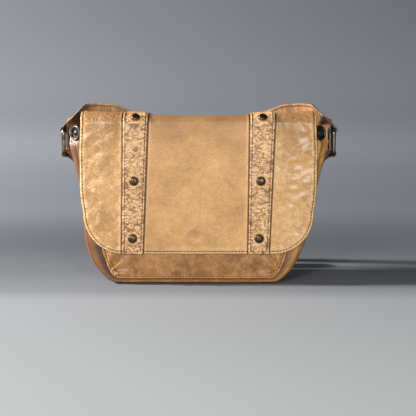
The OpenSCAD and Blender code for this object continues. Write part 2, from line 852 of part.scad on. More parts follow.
module buckle_frame() {
    frame_half = (strap_w + rest_gap + buckle_wire) / 2;
    color(silver)
        translate([buckle_x, buckle_y, buckle_z]) {
            for (x = [0, -buckle_reach])
                translate([x, 0, 0])
                    cylinder(r = buckle_wire / 2, h = 2 * frame_half, center = true, $fn = 48);
            for (s = [-1, 1])
                translate([-buckle_reach, 0, s * frame_half])
                    rotate([0, 90, 0])
                        cylinder(r = buckle_wire / 2, h = buckle_reach, $fn = 48);
            for (x = [0, -buckle_reach], s = [-1, 1])
                translate([x, 0, s * frame_half]) sphere(r = buckle_wire / 2, $fn = 48);
        }
}

module buckle_prong() {
    eye_r = buckle_wire / 2 + fit + prong_d * 0.6;
    color(silver)
        translate([buckle_x, buckle_y, buckle_z])
            difference() {
                union() {
                    cylinder(r = eye_r, h = prong_d * 1.3, center = true, $fn = 48);
                    translate([0, buckle_wire / 2 + prong_d / 2 + fit, 0])
                        rotate([0, -90, 0])
                            cylinder(r = prong_d / 2, h = buckle_reach + buckle_wire / 2, $fn = 32);
                }
                cylinder(r = buckle_wire / 2 + fit, h = 2 * prong_d, center = true, $fn = 48);
            }
}

// Keepers: the fixed one is next to the buckle, the other slides along the doubled strap

keeper_t = strap_t * 0.6;

module keeper(x) {
    low = [x, buckle_y - strap_t / 2 - rest_gap, buckle_z - strap_w / 2 - rest_gap / 2];
    high = [x + keeper_w, ride_y + strap_t / 2 + rest_gap, buckle_z + strap_w / 2 + rest_gap];
    wall = [0, keeper_t, keeper_t];
    past = [overrun, 0, 0];
    color(leather_dark)
        difference() {
            translate(low - wall) cube(high - low + 2 * wall);
            translate(low - past) cube(high - low + 2 * past);
        }
}

module strap_keeper_fixed() {
    keeper(keeper_x);
}

module strap_keeper() {
    keeper(slider_x);
}

base_panel();
gusset_left();
gusset_right();
back_panel();
front_panel();
lining_left();
lining_right();
lining_base();
lining_back();
lining_front();
facing_back();
facing_front();
slip_pocket();
base_board();
flap_yoke();
flap_hinge_welt();
flap_panel();
flap_lining();
trim_strap_left();
trim_strap_right();
flap_rivets();
flap_rivet_backs();
snap_studs();
snap_sockets();
snap_backs();
gusset_snap_studs();
gusset_snap_sockets();
side_tab_left();
side_tab_right();
tab_rivets();
ring_left();
ring_right();
strap_end_left();
strap_end_right();
strap_long();
strap_short();
strap_tongue();
strap_loop_left();
strap_loop_right();
strap_buckle_fold();
buckle_frame();
buckle_prong();
strap_keeper();
strap_keeper_fixed();
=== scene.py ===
import math

import bmesh
import bpy
import numpy as np
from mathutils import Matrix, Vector


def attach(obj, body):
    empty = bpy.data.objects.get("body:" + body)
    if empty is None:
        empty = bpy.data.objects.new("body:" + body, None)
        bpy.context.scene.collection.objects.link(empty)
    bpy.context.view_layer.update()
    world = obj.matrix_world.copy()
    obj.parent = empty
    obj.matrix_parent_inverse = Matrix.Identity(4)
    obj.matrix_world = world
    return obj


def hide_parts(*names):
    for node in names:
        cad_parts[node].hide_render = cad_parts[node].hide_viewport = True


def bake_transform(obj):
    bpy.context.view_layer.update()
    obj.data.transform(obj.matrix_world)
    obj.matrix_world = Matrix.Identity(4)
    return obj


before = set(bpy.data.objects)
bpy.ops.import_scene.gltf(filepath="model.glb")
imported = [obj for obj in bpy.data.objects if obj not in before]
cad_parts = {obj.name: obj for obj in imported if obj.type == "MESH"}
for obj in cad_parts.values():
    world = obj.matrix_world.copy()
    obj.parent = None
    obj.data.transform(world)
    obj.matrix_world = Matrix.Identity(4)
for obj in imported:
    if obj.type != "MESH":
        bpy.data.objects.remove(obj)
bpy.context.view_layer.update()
MM = 0.001

# Gusset strip. One long strip of soft pull-up leather makes the left gusset, the base and
# the right gusset. It is sewn between the front and back panels, grain side out, and bulges
# past them, because the bag is wider inside than its seams.

PANEL_HALF = 116 * MM
BODY_HIGH = 170 * MM
BASE_DEEP = 80 * MM
MOUTH_DEEP = 64 * MM
SEAM_RISE = 6 * MM
BASE_HALF = 0.62 * PANEL_HALF
GUSSET_THICK = 1.8 * MM
GUSSET_SQUARENESS = 4.6
GUSSET_WRAP = 30 * MM
LEAN = 4.0 * MM
LEAN_TOP, LEAN_LOW = 115 * MM, 30 * MM
BELLOWS = 1.05
BELLOWS_DEEP, BELLOWS_LIP = 3.0 * MM, 1.2 * MM
SLACK_DEEP, FOLD_DEEP = 1.5 * MM, 0.8 * MM
RIM_DRAWN = 2.2 * MM
RIM_SPREAD = 3.6 * MM
FRONT_FOLD = 6.0 * MM
CORNER_RISE = 8 * MM
SMOOTH_ANGLE = math.radians(48)
SEAM_SHARES = [[0.62, 0], [0.735, 0.012], [0.80, 0.083], [0.862, 0.223], [0.90, 0.396],
               [0.935, 0.585], [0.97, 0.793], [1, 1]]
BULGE_SHARES = [[0.62, 0], [0.78, 0.012], [0.925, 0.110], [1.018, 0.262], [1.038, 0.450],
                [1.085, 0.620], [1.150, 0.860], [1.150, 0.955]]


def linear(code):
    """The linear colour of an sRGB hex value such as "c89a6a"."""
    parts = [int(code[i:i + 2], 16) / 255 for i in (0, 2, 4)]
    return [p / 12.92 if p <= 0.04045 else ((p + 0.055) / 1.055) ** 2.4 for p in parts] + [1]


def add(tree, kind, inputs=(), **settings):
    """Adds a shader node with its settings, and its inputs' values or links."""
    made = tree.nodes.new("ShaderNode" + kind)
    for name, value in settings.items():
        setattr(made, name, value)
    for name, value in dict(inputs).items():
        if isinstance(value, bpy.types.NodeSocket):
            tree.links.new(value, made.inputs[name])
        else:
            made.inputs[name].default_value = value
    return made


def unit(directions):
    """The same directions, each with a length of 1."""
    return directions / np.linalg.norm(directions, axis=-1, keepdims=True)


def lengths(points):
    """How far each point of a polyline is along it."""
    return np.concatenate([[0], np.cumsum(np.linalg.norm(np.diff(points, axis=0), axis=1))])


def through(points, steps):
    """A smooth curve through the points, with this many steps from each to the next."""
    p = np.array(points, float)
    slope = np.empty_like(p)
    slope[1:-1] = (p[2:] - p[:-2]) / 2
    slope[0], slope[-1] = (p[1] - p[0]) / 2, (p[-1] - p[-2]) / 2
    t = (np.arange(steps) / steps)[:, None]
    out = [a * (2 * t**3 - 3 * t**2 + 1) + sa * (t**3 - 2 * t**2 + t)
           + b * (3 * t**2 - 2 * t**3) + sb * (t**3 - t**2)
           for a, b, sa, sb in zip(p[:-1], p[1:], slope[:-1], slope[1:])]
    return np.concatenate(out + [p[-1:]])


def rumple(u, v, size, seed):
    """Smooth random hills from -1 to 1, with hills about size apart."""
    table = np.random.default_rng(seed).uniform(-1, 1, (61, 67))
    a, b = np.asarray(u) / size + 500, np.asarray(v) / size + 500
    i, j = np.floor(a).astype(int), np.floor(b).astype(int)
    f, g = a - i, b - j
    f, g = f * f * (3 - 2 * f), g * g * (3 - 2 * g)
    i, j, k, n = i % 61, j % 67, (i + 1) % 61, (j + 1) % 67
    return ((table[i, j] * (1 - f) + table[k, j] * f) * (1 - g)
            + (table[i, n] * (1 - f) + table[k, n] * f) * g)


def bump_at(distance, centre, width):
    """A rounded ridge of height 1 at this distance, and nearly flat two widths away."""
    return np.exp(-((distance - centre) / width) ** 2)


def finish_mesh(name, points, faces, materials, face_slots, skin, sharp=SMOOTH_ANGLE,
                wear_and_shade=None):
    """Makes the object, smooth-shaded, with the leather's own flat coordinates in skin.
    The attribute wear_and_shade is above 0 where the leather is worn pale, and below 0 where it is
    darker: wax and dirt, and painted shade in creases, grooves, gaps and hollows."""
    mesh = bpy.data.meshes.new(name)
    mesh.from_pydata([tuple(p) for p in points], [], faces)
    for material in materials:
        mesh.materials.append(material)
    mesh.polygons.foreach_set("material_index", face_slots)
    mesh.attributes.new("skin", "FLOAT_VECTOR", "POINT").data.foreach_set(
        "vector", np.asarray(skin, float).ravel())
    if wear_and_shade is not None:
        mesh.attributes.new("wear_and_shade", "FLOAT", "POINT").data.foreach_set(
            "value", np.asarray(wear_and_shade, float).ravel())
    shaped = bmesh.new()
    shaped.from_mesh(mesh)
    bmesh.ops.recalc_face_normals(shaped, faces=shaped.faces)
    shaped.to_mesh(mesh)
    shaped.free()
    mesh.polygons.foreach_set("use_smooth", [True] * len(mesh.polygons))
    mesh.set_sharp_from_angle(angle=sharp)
    piece = bpy.data.objects.new(name, mesh)
    bpy.context.collection.objects.link(piece)
    return piece


def sheet(name, outer, inner, materials, skin, wear_and_shade=None, back_rows=None):
    """A closed sheet between two grids: the first material on its face, the second on its
    cut edges and the third on its back, or the one that back_rows gives for each row."""
    rows, cols = outer.shape[:2]
    count = rows * cols
    at = np.arange(count).reshape(rows, cols)
    quads = np.stack([at[:-1, :-1], at[:-1, 1:], at[1:, 1:], at[1:, :-1]], -1).reshape(-1, 4)
    edge = np.concatenate([at[0], at[1:, -1], at[-1, -2::-1], at[-2:0:-1, 0]])
    after = np.roll(edge, -1)
    rim = np.stack([edge, after, after + count, edge + count], -1)
    faces = np.concatenate([quads, quads[:, ::-1] + count, rim])
    back = np.full(rows - 1, 2 if len(materials) > 2 else 0) if back_rows is None else back_rows
    slots = [0] * len(quads) + np.repeat(back, cols - 1).tolist()
    slots += [min(1, len(materials) - 1)] * len(rim)
    points = np.concatenate([outer.reshape(-1, 3), inner.reshape(-1, 3)])
    flat = np.concatenate([skin.reshape(-1, 3)] * 2)
    if wear_and_shade is not None:
        wear_and_shade = np.concatenate([wear_and_shade.ravel(), wear_and_shade.ravel() * 0])
    return finish_mesh(name, points, faces.tolist(), materials, slots, flat, wear_and_shade=wear_and_shade)


def blank(name):
    """A new material, with its node tree and its surface shader."""
    made = bpy.data.materials.new(name)
    made.use_nodes = True
    return made, made.node_tree, made.node_tree.nodes["Principled BSDF"]


def leather(name, pale, deep, worn, dirt_and_shade="4a2e1c", gloss=0.42, pores=1.1, crease=9.0,
            crease_depth=0.3, pore_depth=0.1, mottle=24.0, grain=3.2, grain_depth=0.12,
            rubbing=0.5, waxing=0.15, held=-30):
    """Waxed pull-up leather, drum-dyed and hand-finished by rubbing: cloudy colour that is paler
    where it has been bent, fine crackled grain, shallow creases and a waxy shine. Sizes are in
    millimetres."""
    made, tree, surface = blank(name)
    skin = add(tree, "Attribute", attribute_name="skin").outputs["Vector"]
    wear_and_shade_in = add(tree, "Attribute", attribute_name="wear_and_shade").outputs["Fac"]
    clouds = add(tree, "TexNoise", {"Vector": skin, "Scale": 1000 / mottle, "Detail": 6,
                                    "Roughness": 0.66}).outputs["Fac"]
    cloudy = add(tree, "MapRange", {"Value": clouds, "From Min": 0.36, "From Max": 0.64})
    bent = add(tree, "TexNoise", {"Vector": skin, "Scale": 1000 / crease, "Detail": 5,
                                  "Roughness": 0.6, "Distortion": 0.5}).outputs["Fac"]
    folds = add(tree, "MapRange", {"Value": bent, "From Min": 0.44, "From Max": 0.66})
    # Crackled grain: small cells with fine valleys between them
    cells = add(tree, "TexVoronoi", {"Vector": skin, "Scale": 1000 / grain, "Randomness": 1},
                feature="DISTANCE_TO_EDGE").outputs["Distance"]
    valley = add(tree, "MapRange", {"Value": cells, "From Max": 0.16}).outputs[0]
    fine = add(tree, "TexNoise", {"Vector": skin, "Scale": 1000 / pores, "Detail": 4,
                                  "Roughness": 0.72}).outputs["Fac"]
    dye = add(tree, "Mix", {0: cloudy.outputs[0], 6: linear(deep), 7: linear(pale)},
              data_type="RGBA").outputs[2]
    # The creases fade out over the leather within "held" of the middle, which is kept flat
    across = add(tree, "SeparateXYZ", {"Vector": skin}).outputs["X"]
    off = add(tree, "Math", {0: across}, operation="ABSOLUTE").outputs[0]
    slack = add(tree, "MapRange", {"Value": off, "From Min": held * MM,
                                   "From Max": (held + 25) * MM, "To Min": 0.3}).outputs[0]
    share = add(tree, "Math", {0: slack, 1: rubbing}, operation="MULTIPLY").outputs[0]
    rub = add(tree, "Math", {0: folds.outputs[0], 1: share}, operation="MULTIPLY")
    paled = add(tree, "Math", {0: wear_and_shade_in, 1: rub.outputs[0]}, operation="ADD", use_clamp=True)
    tint = add(tree, "Mix", {0: paled.outputs[0], 6: dye, 7: linear(worn)},
               data_type="RGBA").outputs[2]
    # Darker where the attribute is below 0: wax and dirt, and painted shade in creases, grooves,
    # gaps and hollows
    darker_share = add(tree, "Math", {0: wear_and_shade_in, 1: -1}, operation="MULTIPLY", use_clamp=True)
    darkened_tint = add(tree, "Mix", {0: darker_share.outputs[0], 6: tint, 7: linear(dirt_and_shade)},
                data_type="RGBA").outputs[2]
    speck = add(tree, "MapRange", {"Value": fine, "From Min": 0.28, "From Max": 0.66,
                                   "To Min": 0.74, "To Max": 1.12}).outputs[0]
    # Fine specks of lighter and darker colour, and darker valleys between the grain's cells:
    # painted shade
    edge = add(tree, "MapRange", {"Value": valley, "To Min": 0.88, "To Max": 1.0}).outputs[0]
    speck_and_valley_shade = add(tree, "Math", {0: speck, 1: edge}, operation="MULTIPLY").outputs[0]
    colour = add(tree, "VectorMath", {0: darkened_tint, 1: speck_and_valley_shade}, operation="MULTIPLY").outputs[0]
    tree.links.new(colour, surface.inputs["Base Color"])
    shine = add(tree, "MapRange", {"Value": clouds, "From Min": 0.3, "From Max": 0.7,
                                   "To Min": gloss + 0.12, "To Max": gloss - 0.06}).outputs[0]
    tree.links.new(shine, surface.inputs["Roughness"])
    wide = add(tree, "Bump", {"Height": bent, "Strength": slack,
                              "Distance": crease_depth * 2 * MM}).outputs[0]
    crackle = add(tree, "Bump", {"Height": valley, "Normal": wide, "Strength": 0.8,
                                 "Distance": grain_depth * MM}).outputs[0]
    rough = add(tree, "Bump", {"Height": fine, "Normal": crackle, "Strength": 0.8,
                               "Distance": pore_depth * 2 * MM}).outputs[0]
    tree.links.new(rough, surface.inputs["Normal"])
    surface.inputs["IOR"].default_value = 1.5
    surface.inputs["Coat Weight"].default_value = waxing
    surface.inputs["Coat Roughness"].default_value = 0.22
    return made


# The fibre ends on a cut edge, drawn about 1.1 mm apart, coarser than life, so that they show
EDGE_FIBRE = MM / 0.9


def inked_edge(name, colour, gloss=0.45):
    """A cut leather edge, painted with edge ink and burnished: dark, a little uneven, satin."""
    made, tree, surface = blank(name)
    skin = add(tree, "Attribute", attribute_name="skin").outputs["Vector"]
    fibre = add(tree, "TexNoise", {"Vector": skin, "Scale": 1 / EDGE_FIBRE,
                                   "Detail": 4}).outputs["Fac"]
    shade = add(tree, "MapRange", {"Value": fibre, "To Min": 0.7, "To Max": 1.35}).outputs[0]
    colour = add(tree, "VectorMath", {0: linear(colour)[:3], 1: shade}, operation="MULTIPLY")
    tree.links.new(colour.outputs[0], surface.inputs["Base Color"])
    bump = add(tree, "Bump", {"Height": fibre, "Strength": 0.6, "Distance": 0.1 * MM})
    tree.links.new(bump.outputs[0], surface.inputs["Normal"])
    surface.inputs["Roughness"].default_value = gloss
    return made


# The body's leather is the flap's, painted darker as the shade it hangs in under the flap, and
# handled less: browner, and with a duller shine
BODY_LEATHER_SHADED = leather("pull_up_leather_body_shaded", pale="b87c3c", deep="8a5722", worn="dba463",
                       gloss=0.42)
EDGE_INK = inked_edge("edge_ink_brown", "35201a")
# The flesh side is buffed to a short nap: dull, with a fine and uneven surface
RAW_SIDE = leather("flesh_side_suede", pale="7d5a3c", deep="5f4028", worn="8d6a4a", gloss=0.9,
                   pores=0.8, crease=4, crease_depth=0.15, grain=1.6)


def seam_line(steps):
    """The right half of the seam between panel and gusset, as places (x, z) going up."""
    return through([[PANEL_HALF * a, SEAM_RISE + (BODY_HIGH - SEAM_RISE) * b]
                    for a, b in SEAM_SHARES], steps)


def half_depth(z):
    """Half the bag's depth over its panels at this height."""
    return (BASE_DEEP - (BASE_DEEP - MOUTH_DEEP) * z / BODY_HIGH) / 2


def leaning(z):
    """How far use has pushed the lower body to the left at this height."""
    low = np.clip((LEAN_TOP - z) / (LEAN_TOP - LEAN_LOW), 0, 1)
    return -LEAN * low * low * (3 - 2 * low)


def strip_paths(steps):
    """The seam's path and the bulge's path from the left rim, under the base, to the right."""
    seam = seam_line(steps)
    bulge = through([[PANEL_HALF * a, BODY_HIGH * b] for a, b in BULGE_SHARES], steps)
    flat = np.linspace(0, BASE_HALF, 16)[:-1]
    seam = np.concatenate([np.stack([flat, flat * 0 + SEAM_RISE], 1), seam])
    bulge = np.concatenate([np.stack([flat, flat * 0], 1), bulge])
    mirror = np.array([-1, 1])
    return (np.concatenate([seam[:0:-1] * mirror, seam]),
            np.concatenate([bulge[:0:-1] * mirror, bulge]))


# Both front corners are pressed flat for an eyelet: each has a middle and the way it faces
EYELET_R = 8.0 * MM
EYELETS = [(np.array([x, -27.6, 159.5]) * MM, unit(np.array([side * 0.64, -0.76, 0.10])))
           for side, x in ((-1, -128.6), (1, 127.4))]
EYELET_PRESS = 9 * MM


def flattened(grid, centre, normal, reach):
    """The grid pressed flat round a place, where something round is set into it."""
    lift = (grid - centre) @ normal
    away = np.linalg.norm(grid - centre - lift[..., None] * normal, axis=-1)
    share = np.clip((1.55 * reach - away) / (0.4 * reach), 0, 1) * (np.abs(lift) < EYELET_PRESS)
    return grid - normal * (lift * share)[..., None]


def gusset_grid(inset, steps=7, across=44):
    """Points on the strip's surface, this far in from its grain side, and their skin."""
    seam, bulge = strip_paths(steps)
    out = bulge - seam
    reach = np.linalg.norm(out, axis=1, keepdims=True)
    run = lengths(bulge)
    turn = np.linspace(-math.pi / 2, math.pi / 2, across + 1)
    power = 2 / GUSSET_SQUARENESS
    side = np.sign(turn) * np.abs(np.sin(turn)) ** power
    lift = np.abs(np.cos(turn)) ** power
    u, v = np.meshgrid(run, turn, indexing="ij")
    x_side = np.sign(bulge[:, :1]) * np.ones_like(u)
    high = np.clip(seam[:, 1:2] / BODY_HIGH, 0, 1) * np.ones_like(u)
    standing = np.clip((high - 0.08) / 0.2, 0, 1)
    # Bellows creases down the gusset's front and back corners, and slack leather between
    crease = -BELLOWS_DEEP * bump_at(np.abs(v), BELLOWS, 0.09) * standing * (1 - 0.5 * high)
    crease += BELLOWS_LIP * bump_at(np.abs(v), BELLOWS + 0.22, 0.10) * standing
    slack = standing * SLACK_DEEP * rumple(u + 9 * x_side, v * GUSSET_WRAP, 22 * MM, 5)
    fold = standing * FOLD_DEEP * rumple(u * 0.6, v * 50 * MM, 8 * MM, 6)
    # The rim is drawn in at its middle, where the snap closes, and stands out at its corners
    rim = np.clip((high - 0.78) / 0.22, 0, 1)
    drawn = rim * (1.4 * np.cos(2.4 * v) - 1.0) * -RIM_DRAWN
    # Above the side tab and in front of it the gusset falls outward, beside the ring
    fall = RIM_SPREAD * np.clip((high - 0.83) / 0.09, 0, 1) * bump_at(v, -0.15, 0.75)
    fall = np.maximum(fall, FRONT_FOLD * np.clip((high - 0.58) / 0.20, 0, 1)
                      * bump_at(v, -0.72, 0.34))
    push = (crease + slack + fold + drawn + fall) * lift
    share = lift * (reach - inset) / reach + push / reach
    x = seam[:, :1] + out[:, :1] * share
    z = seam[:, 1:2] + out[:, 1:2] * share
    y = (half_depth(seam[:, 1:2]) - inset) * side[None, :] * np.ones_like(u)
    low = np.clip(1 - high * 8, 0, 1)
    z = np.where(low > 0.99, np.maximum(z, inset), z)
    z = z + CORNER_RISE * np.clip((high - 0.86) / 0.14, 0, 1) * bump_at(v, -0.78, 0.36)
    x = x + leaning(z)
    grid = np.stack([x, y, z], -1)
    for centre, normal in EYELETS:
        grid = flattened(grid, centre - normal * inset, normal, EYELET_R)
    return grid, np.stack([u, v * GUSSET_WRAP, np.full_like(u, inset)], -1)


strip_outer, strip_skin = gusset_grid(0)
strip_inner, _ = gusset_grid(GUSSET_THICK)
# Darker in the bellows creases and along both seams: painted shade. Paler on the creases' lips
# and beside the seams. The left gusset is painted darker, painted shade, and the right one a
# little paler, painted light.
across_strip = np.abs(strip_skin[..., 1]) / GUSSET_WRAP
up_strip = np.clip((strip_outer[..., 2] - 8 * MM) / (20 * MM), 0, 1)
strip_wear_and_shade = (-0.75 * bump_at(across_strip, BELLOWS, 0.05) * up_strip
                + 0.45 * bump_at(across_strip, BELLOWS + 0.16, 0.07) * up_strip
                - 0.8 * bump_at(across_strip, math.pi / 2, 0.05)
                + 0.25 * bump_at(across_strip, 1.40, 0.06))
strip_wear_and_shade -= 0.62 * np.clip((-strip_outer[..., 0] - 78 * MM) / (20 * MM), 0, 1)
strip_wear_and_shade += 0.15 * np.clip((strip_outer[..., 0] - 90 * MM) / (20 * MM), 0, 1)
gusset = sheet("gusset_strip", strip_outer, strip_inner, [BODY_LEATHER_SHADED, EDGE_INK, RAW_SIDE],
               strip_skin, strip_wear_and_shade)
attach(gusset, "bag")
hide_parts("gusset_left", "gusset_right", "base_panel")

# Front and back panels. Two flat-cut panels of the same leather are sewn to the gusset strip
# along their sides and bottoms, and swell a little between the seams. The sockets of two
# magnetic snaps are set into the front one.

PANEL_THICK = 2.0 * MM
PANEL_SWELL = 1.8 * MM
SEAM_GROOVE = 3.0 * MM
GATHER_X, GATHER_Z = 0.80 * PANEL_HALF, 12 * MM
GATHER_DEEP, GATHER_R = 1.5 * MM, 13 * MM
SNAP_PLACES, SNAP_HIGH = (-69.1 * MM, 63.7 * MM), 49.4 * MM
SNAP_R, SNAP_BORE = 9 * MM, 6 * MM
SNAP_SUNK, BORE_SUNK = 0.7 * MM, 0.9 * MM


def seam_half(z):
    """Half the panel's width at this height."""
    seam = seam_line(12)
    return np.interp(z, seam[:, 1], seam[:, 0])


def spaced(length, edge_steps, inner_step):
    """Distances along a line: close together near both ends, and wider between them."""
    near = np.array(edge_steps)
    middle = np.linspace(near[-1], length - near[-1],
                         max(2, int((length - 2 * near[-1]) / inner_step)))[1:-1]
    return np.concatenate([near, middle, (length - near)[::-1]])


# Distances from an edge, close enough together to round it and to press a stitch groove
NEAR_EDGE = np.array([0, 0.3, 0.7, 1.2, 1.7, 2.1, 2.5, 2.9, 3.4, 4.0, 5.0, 6.4]) * MM


def from_snap(x, z):
    """How far a place on the bag's front is from the nearer snap's middle."""
    return np.minimum.reduce([np.hypot(x - snap_x, z - SNAP_HIGH) for snap_x in SNAP_PLACES])


def panel_point(x, z, side, inset):
    """Points on a panel's outer face, or on its inner one where inset is its thickness."""
    near = np.minimum(seam_half(z) - np.abs(x), (z - SEAM_RISE) * 1.4)
    puff = PANEL_SWELL * (1 - np.exp(-np.clip(near, 0, None) / (16 * MM)))
    groove = -0.45 * MM * bump_at(near, SEAM_GROOVE, 0.6 * MM) * (inset == 0)
    round_off = -0.9 * MM * np.clip(1 - near / (1.5 * MM), 0, 1) ** 2 * (inset == 0)
    # Gathers that run up and in from the two lower corners
    away = np.hypot(np.abs(x) - GATHER_X, z - GATHER_Z)
    spoke = np.arctan2(z - GATHER_Z, GATHER_X - np.abs(x))
    gather = GATHER_DEEP * np.cos(spoke * 9 + np.where(x < 0, 0.4, 1.1)) \
        * bump_at(away, GATHER_R, 11 * MM) * np.clip(near / (4 * MM), 0, 1)
    slack = 0.5 * MM * rumple(x, z, 24 * MM, 11 if side < 0 else 12) \
        * np.clip(near / (8 * MM), 0, 1)
    top = np.clip((BODY_HIGH - z) / (12 * MM), 0, 1)
    # The front panel is pressed flat round both snap sockets, and in under their rims
    ring = from_snap(x + leaning(z), z) + (side > 0)
    top = top * np.clip((ring - SNAP_R) / (9 * MM), 0, 1)
    pressed = (SNAP_SUNK * np.clip((SNAP_R + 5 * MM - ring) / (3 * MM), 0, 1)
               + BORE_SUNK * np.clip((SNAP_BORE - ring) / (2 * MM), 0, 1)) * (inset == 0)
    lift = (puff + gather + slack) * top + groove + round_off - pressed
    return np.stack([x + leaning(z), side * (half_depth(z) - inset + lift), z], -1)


def panel(name, side):
    """A leather panel on the front (-1) or the back (1), with its seam's lips."""
    up = spaced(BODY_HIGH - SEAM_RISE, NEAR_EDGE, 1.9 * MM) + SEAM_RISE
    half = seam_half(up)[:, None]
    share = spaced(2 * PANEL_HALF, NEAR_EDGE, 2.0 * MM)
    inner = np.clip((share - PANEL_HALF) / (PANEL_HALF - NEAR_EDGE[-1]), -1, 1)[None, :]
    off = np.minimum(np.minimum(share, 2 * PANEL_HALF - share), NEAR_EDGE[-1])[None, :]
    x = inner * (half - NEAR_EDGE[-1]) + np.sign(inner) * (NEAR_EDGE[-1] - off) \
        * (np.abs(inner) > 0.999)
    z = up[:, None] * np.ones_like(x)
    skin = np.stack([x, z * 0 + side * 0.3, z], -1)
    near = np.minimum(half - np.abs(x), (z - SEAM_RISE) * 1.4)
    # Paler on the seam's lips; darker in the stitch groove and at the seam's edge, where it meets
    # the gusset: painted shade
    wear_and_shade = (0.45 * bump_at(near, 1.4 * MM, 0.8 * MM) + 0.30 * bump_at(near, 4.4 * MM, 0.8 * MM)
              - 0.65 * bump_at(near, SEAM_GROOVE, 0.5 * MM)
              - 0.8 * bump_at(near, 0, 0.5 * MM))
    if side < 0:
        # A paler ring round each snap socket, and painted shade in its bore
        ring = from_snap(x + leaning(z), z)
        wear_and_shade = wear_and_shade + 0.35 * bump_at(ring, SNAP_R + 4 * MM, 1.5 * MM) \
            - 1.2 * np.clip((SNAP_BORE - ring) / MM, 0, 1)
    return sheet(name, panel_point(x, z, side, 0), panel_point(x, z, side, PANEL_THICK),
                 [BODY_LEATHER_SHADED, EDGE_INK, RAW_SIDE], skin, wear_and_shade)


for word, side in (("front", -1), ("back", 1)):
    piece = panel(word + "_panel_leather", side)
    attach(piece, "bag")
    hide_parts(word + "_panel")

# Panel stitches. Saddle stitches in waxed thread hold each panel to the gusset strip. Two dark
# rows run down each side, and a pale one along the bottom.

SIDE_ROWS, BASE_ROW = (SEAM_GROOVE, 5.6 * MM), 1.7 * MM
SIDE_ROW_TOP, BASE_ROW_TOP = 166 * MM, 12 * MM
STITCH_PITCH = 3.6 * MM
THREAD_THICK = 0.8 * MM
# The twist's bands come out a little over one thread's thickness apart
THREAD_TWIST = 0.56 / THREAD_THICK


def waxed_thread(name, colour):
    """Waxed polyester thread, twisted and pulled tight: matt, with a slight sheen."""
    made, tree, surface = blank(name)
    skin = add(tree, "Attribute", attribute_name="skin").outputs["Vector"]
    twist = add(tree, "TexWave", {"Vector": skin, "Scale": THREAD_TWIST, "Distortion": 1},
                wave_type="BANDS", bands_direction="DIAGONAL").outputs["Fac"]
    shade = add(tree, "MapRange", {"Value": twist, "To Min": 0.72, "To Max": 1.1}).outputs[0]
    tint = add(tree, "VectorMath", {0: linear(colour)[:3], 1: shade}, operation="MULTIPLY")
    tree.links.new(tint.outputs[0], surface.inputs["Base Color"])
    surface.inputs["Roughness"].default_value = 0.6
    surface.inputs["Sheen Weight"].default_value = 0.3
    return made


DARK_THREAD = waxed_thread("waxed_thread_dark", "452c1e")
PALE_THREAD = waxed_thread("waxed_thread_natural", "d8b88c")
# Along one stitch: its place as a share of its length, then its width and its rise over
# the leather as shares of the thread's
STITCH_FORM = [[-0.5, 0.16, -0.45], [-0.40, 0.80, -0.05], [-0.18, 1.0, 0.22],
               [0.18, 1.0, 0.22], [0.40, 0.80, -0.05], [0.5, 0.16, -0.45]]
STITCH_SHARE = 0.74


def evenly(points, spacing):
    """The same polyline with points at an even spacing, and the spacing's running lengths."""
    p = np.array(points, float)
    run = lengths(p)
    at = np.linspace(0, run[-1], max(2, int(round(run[-1] / spacing)) + 1))
    return np.stack([np.interp(at, run, p[:, i]) for i in range(p.shape[1])], 1), at


def tube_faces(first, rings, sides, closed=False):
    """Faces round a row of rings of points, with flat ends unless it closes on itself."""
    faces = []
    for k in range(rings if closed else rings - 1):
        p, q = first + k * sides, first + (k + 1) % rings * sides
        faces += [[p + i, p + (i + 1) % sides, q + (i + 1) % sides, q + i]
                  for i in range(sides)]
    if not closed:
        last = first + (rings - 1) * sides
        faces += [list(range(first, first + sides)), list(range(last, last + sides))]
    return faces


def stitches(name, rows, material, body):
    """Saddle stitches: each row is a path with the leather's outward directions, and each
    stitch is a short rounded length of thread whose ends dip into their holes."""
    points, faces, skin = [], [], []
    sides = 6
    ring = np.linspace(0, 2 * math.pi, sides, endpoint=False)
    for path, out in rows:
        both, _ = evenly(np.hstack([path, out]), STITCH_PITCH)
        for a, b in zip(both[:-1], both[1:]):
            mid, along = (a[:3] + b[:3]) / 2, b[:3] - a[:3]
            length = np.linalg.norm(along)
            along = along / length
            up = (a[3:] + b[3:]) / 2
            up = unit(up - along * up.dot(along))
            across = np.cross(along, up)
            first = len(points)
            for step, width, rise in STITCH_FORM:
                for angle in ring:
                    r = THREAD_THICK / 2 * width
                    points.append(mid + along * step * length * STITCH_SHARE
                                  + up * (r * math.sin(angle) + rise * THREAD_THICK)
                                  + across * r * math.cos(angle))
                    skin.append([first * 0.001 + step * length, angle * THREAD_THICK / 6, 0])
            faces += tube_faces(first, len(STITCH_FORM), sides)
    made = finish_mesh(name, points, faces, [material], [0] * len(faces), skin,
                       sharp=math.radians(80))
    if isinstance(body, str):
        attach(made, body)
    else:
        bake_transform(made)


def panel_seam_path(side, inset):
    """A path round a panel's sides and bottom, this far inside its edge."""
    flat = np.linspace(0, BASE_HALF, 10)[:-1]
    seam = np.concatenate([np.stack([flat, flat * 0 + SEAM_RISE], 1), seam_line(8)])
    tangent = unit(np.gradient(seam, axis=0))
    seam = seam + np.stack([-tangent[:, 1], tangent[:, 0]], 1) * inset
    seam = seam[seam[:, 1] < SIDE_ROW_TOP]
    seam = np.concatenate([seam[:0:-1] * [-1, 1], seam])
    return panel_point(seam[:, 0], seam[:, 1], side, 0)


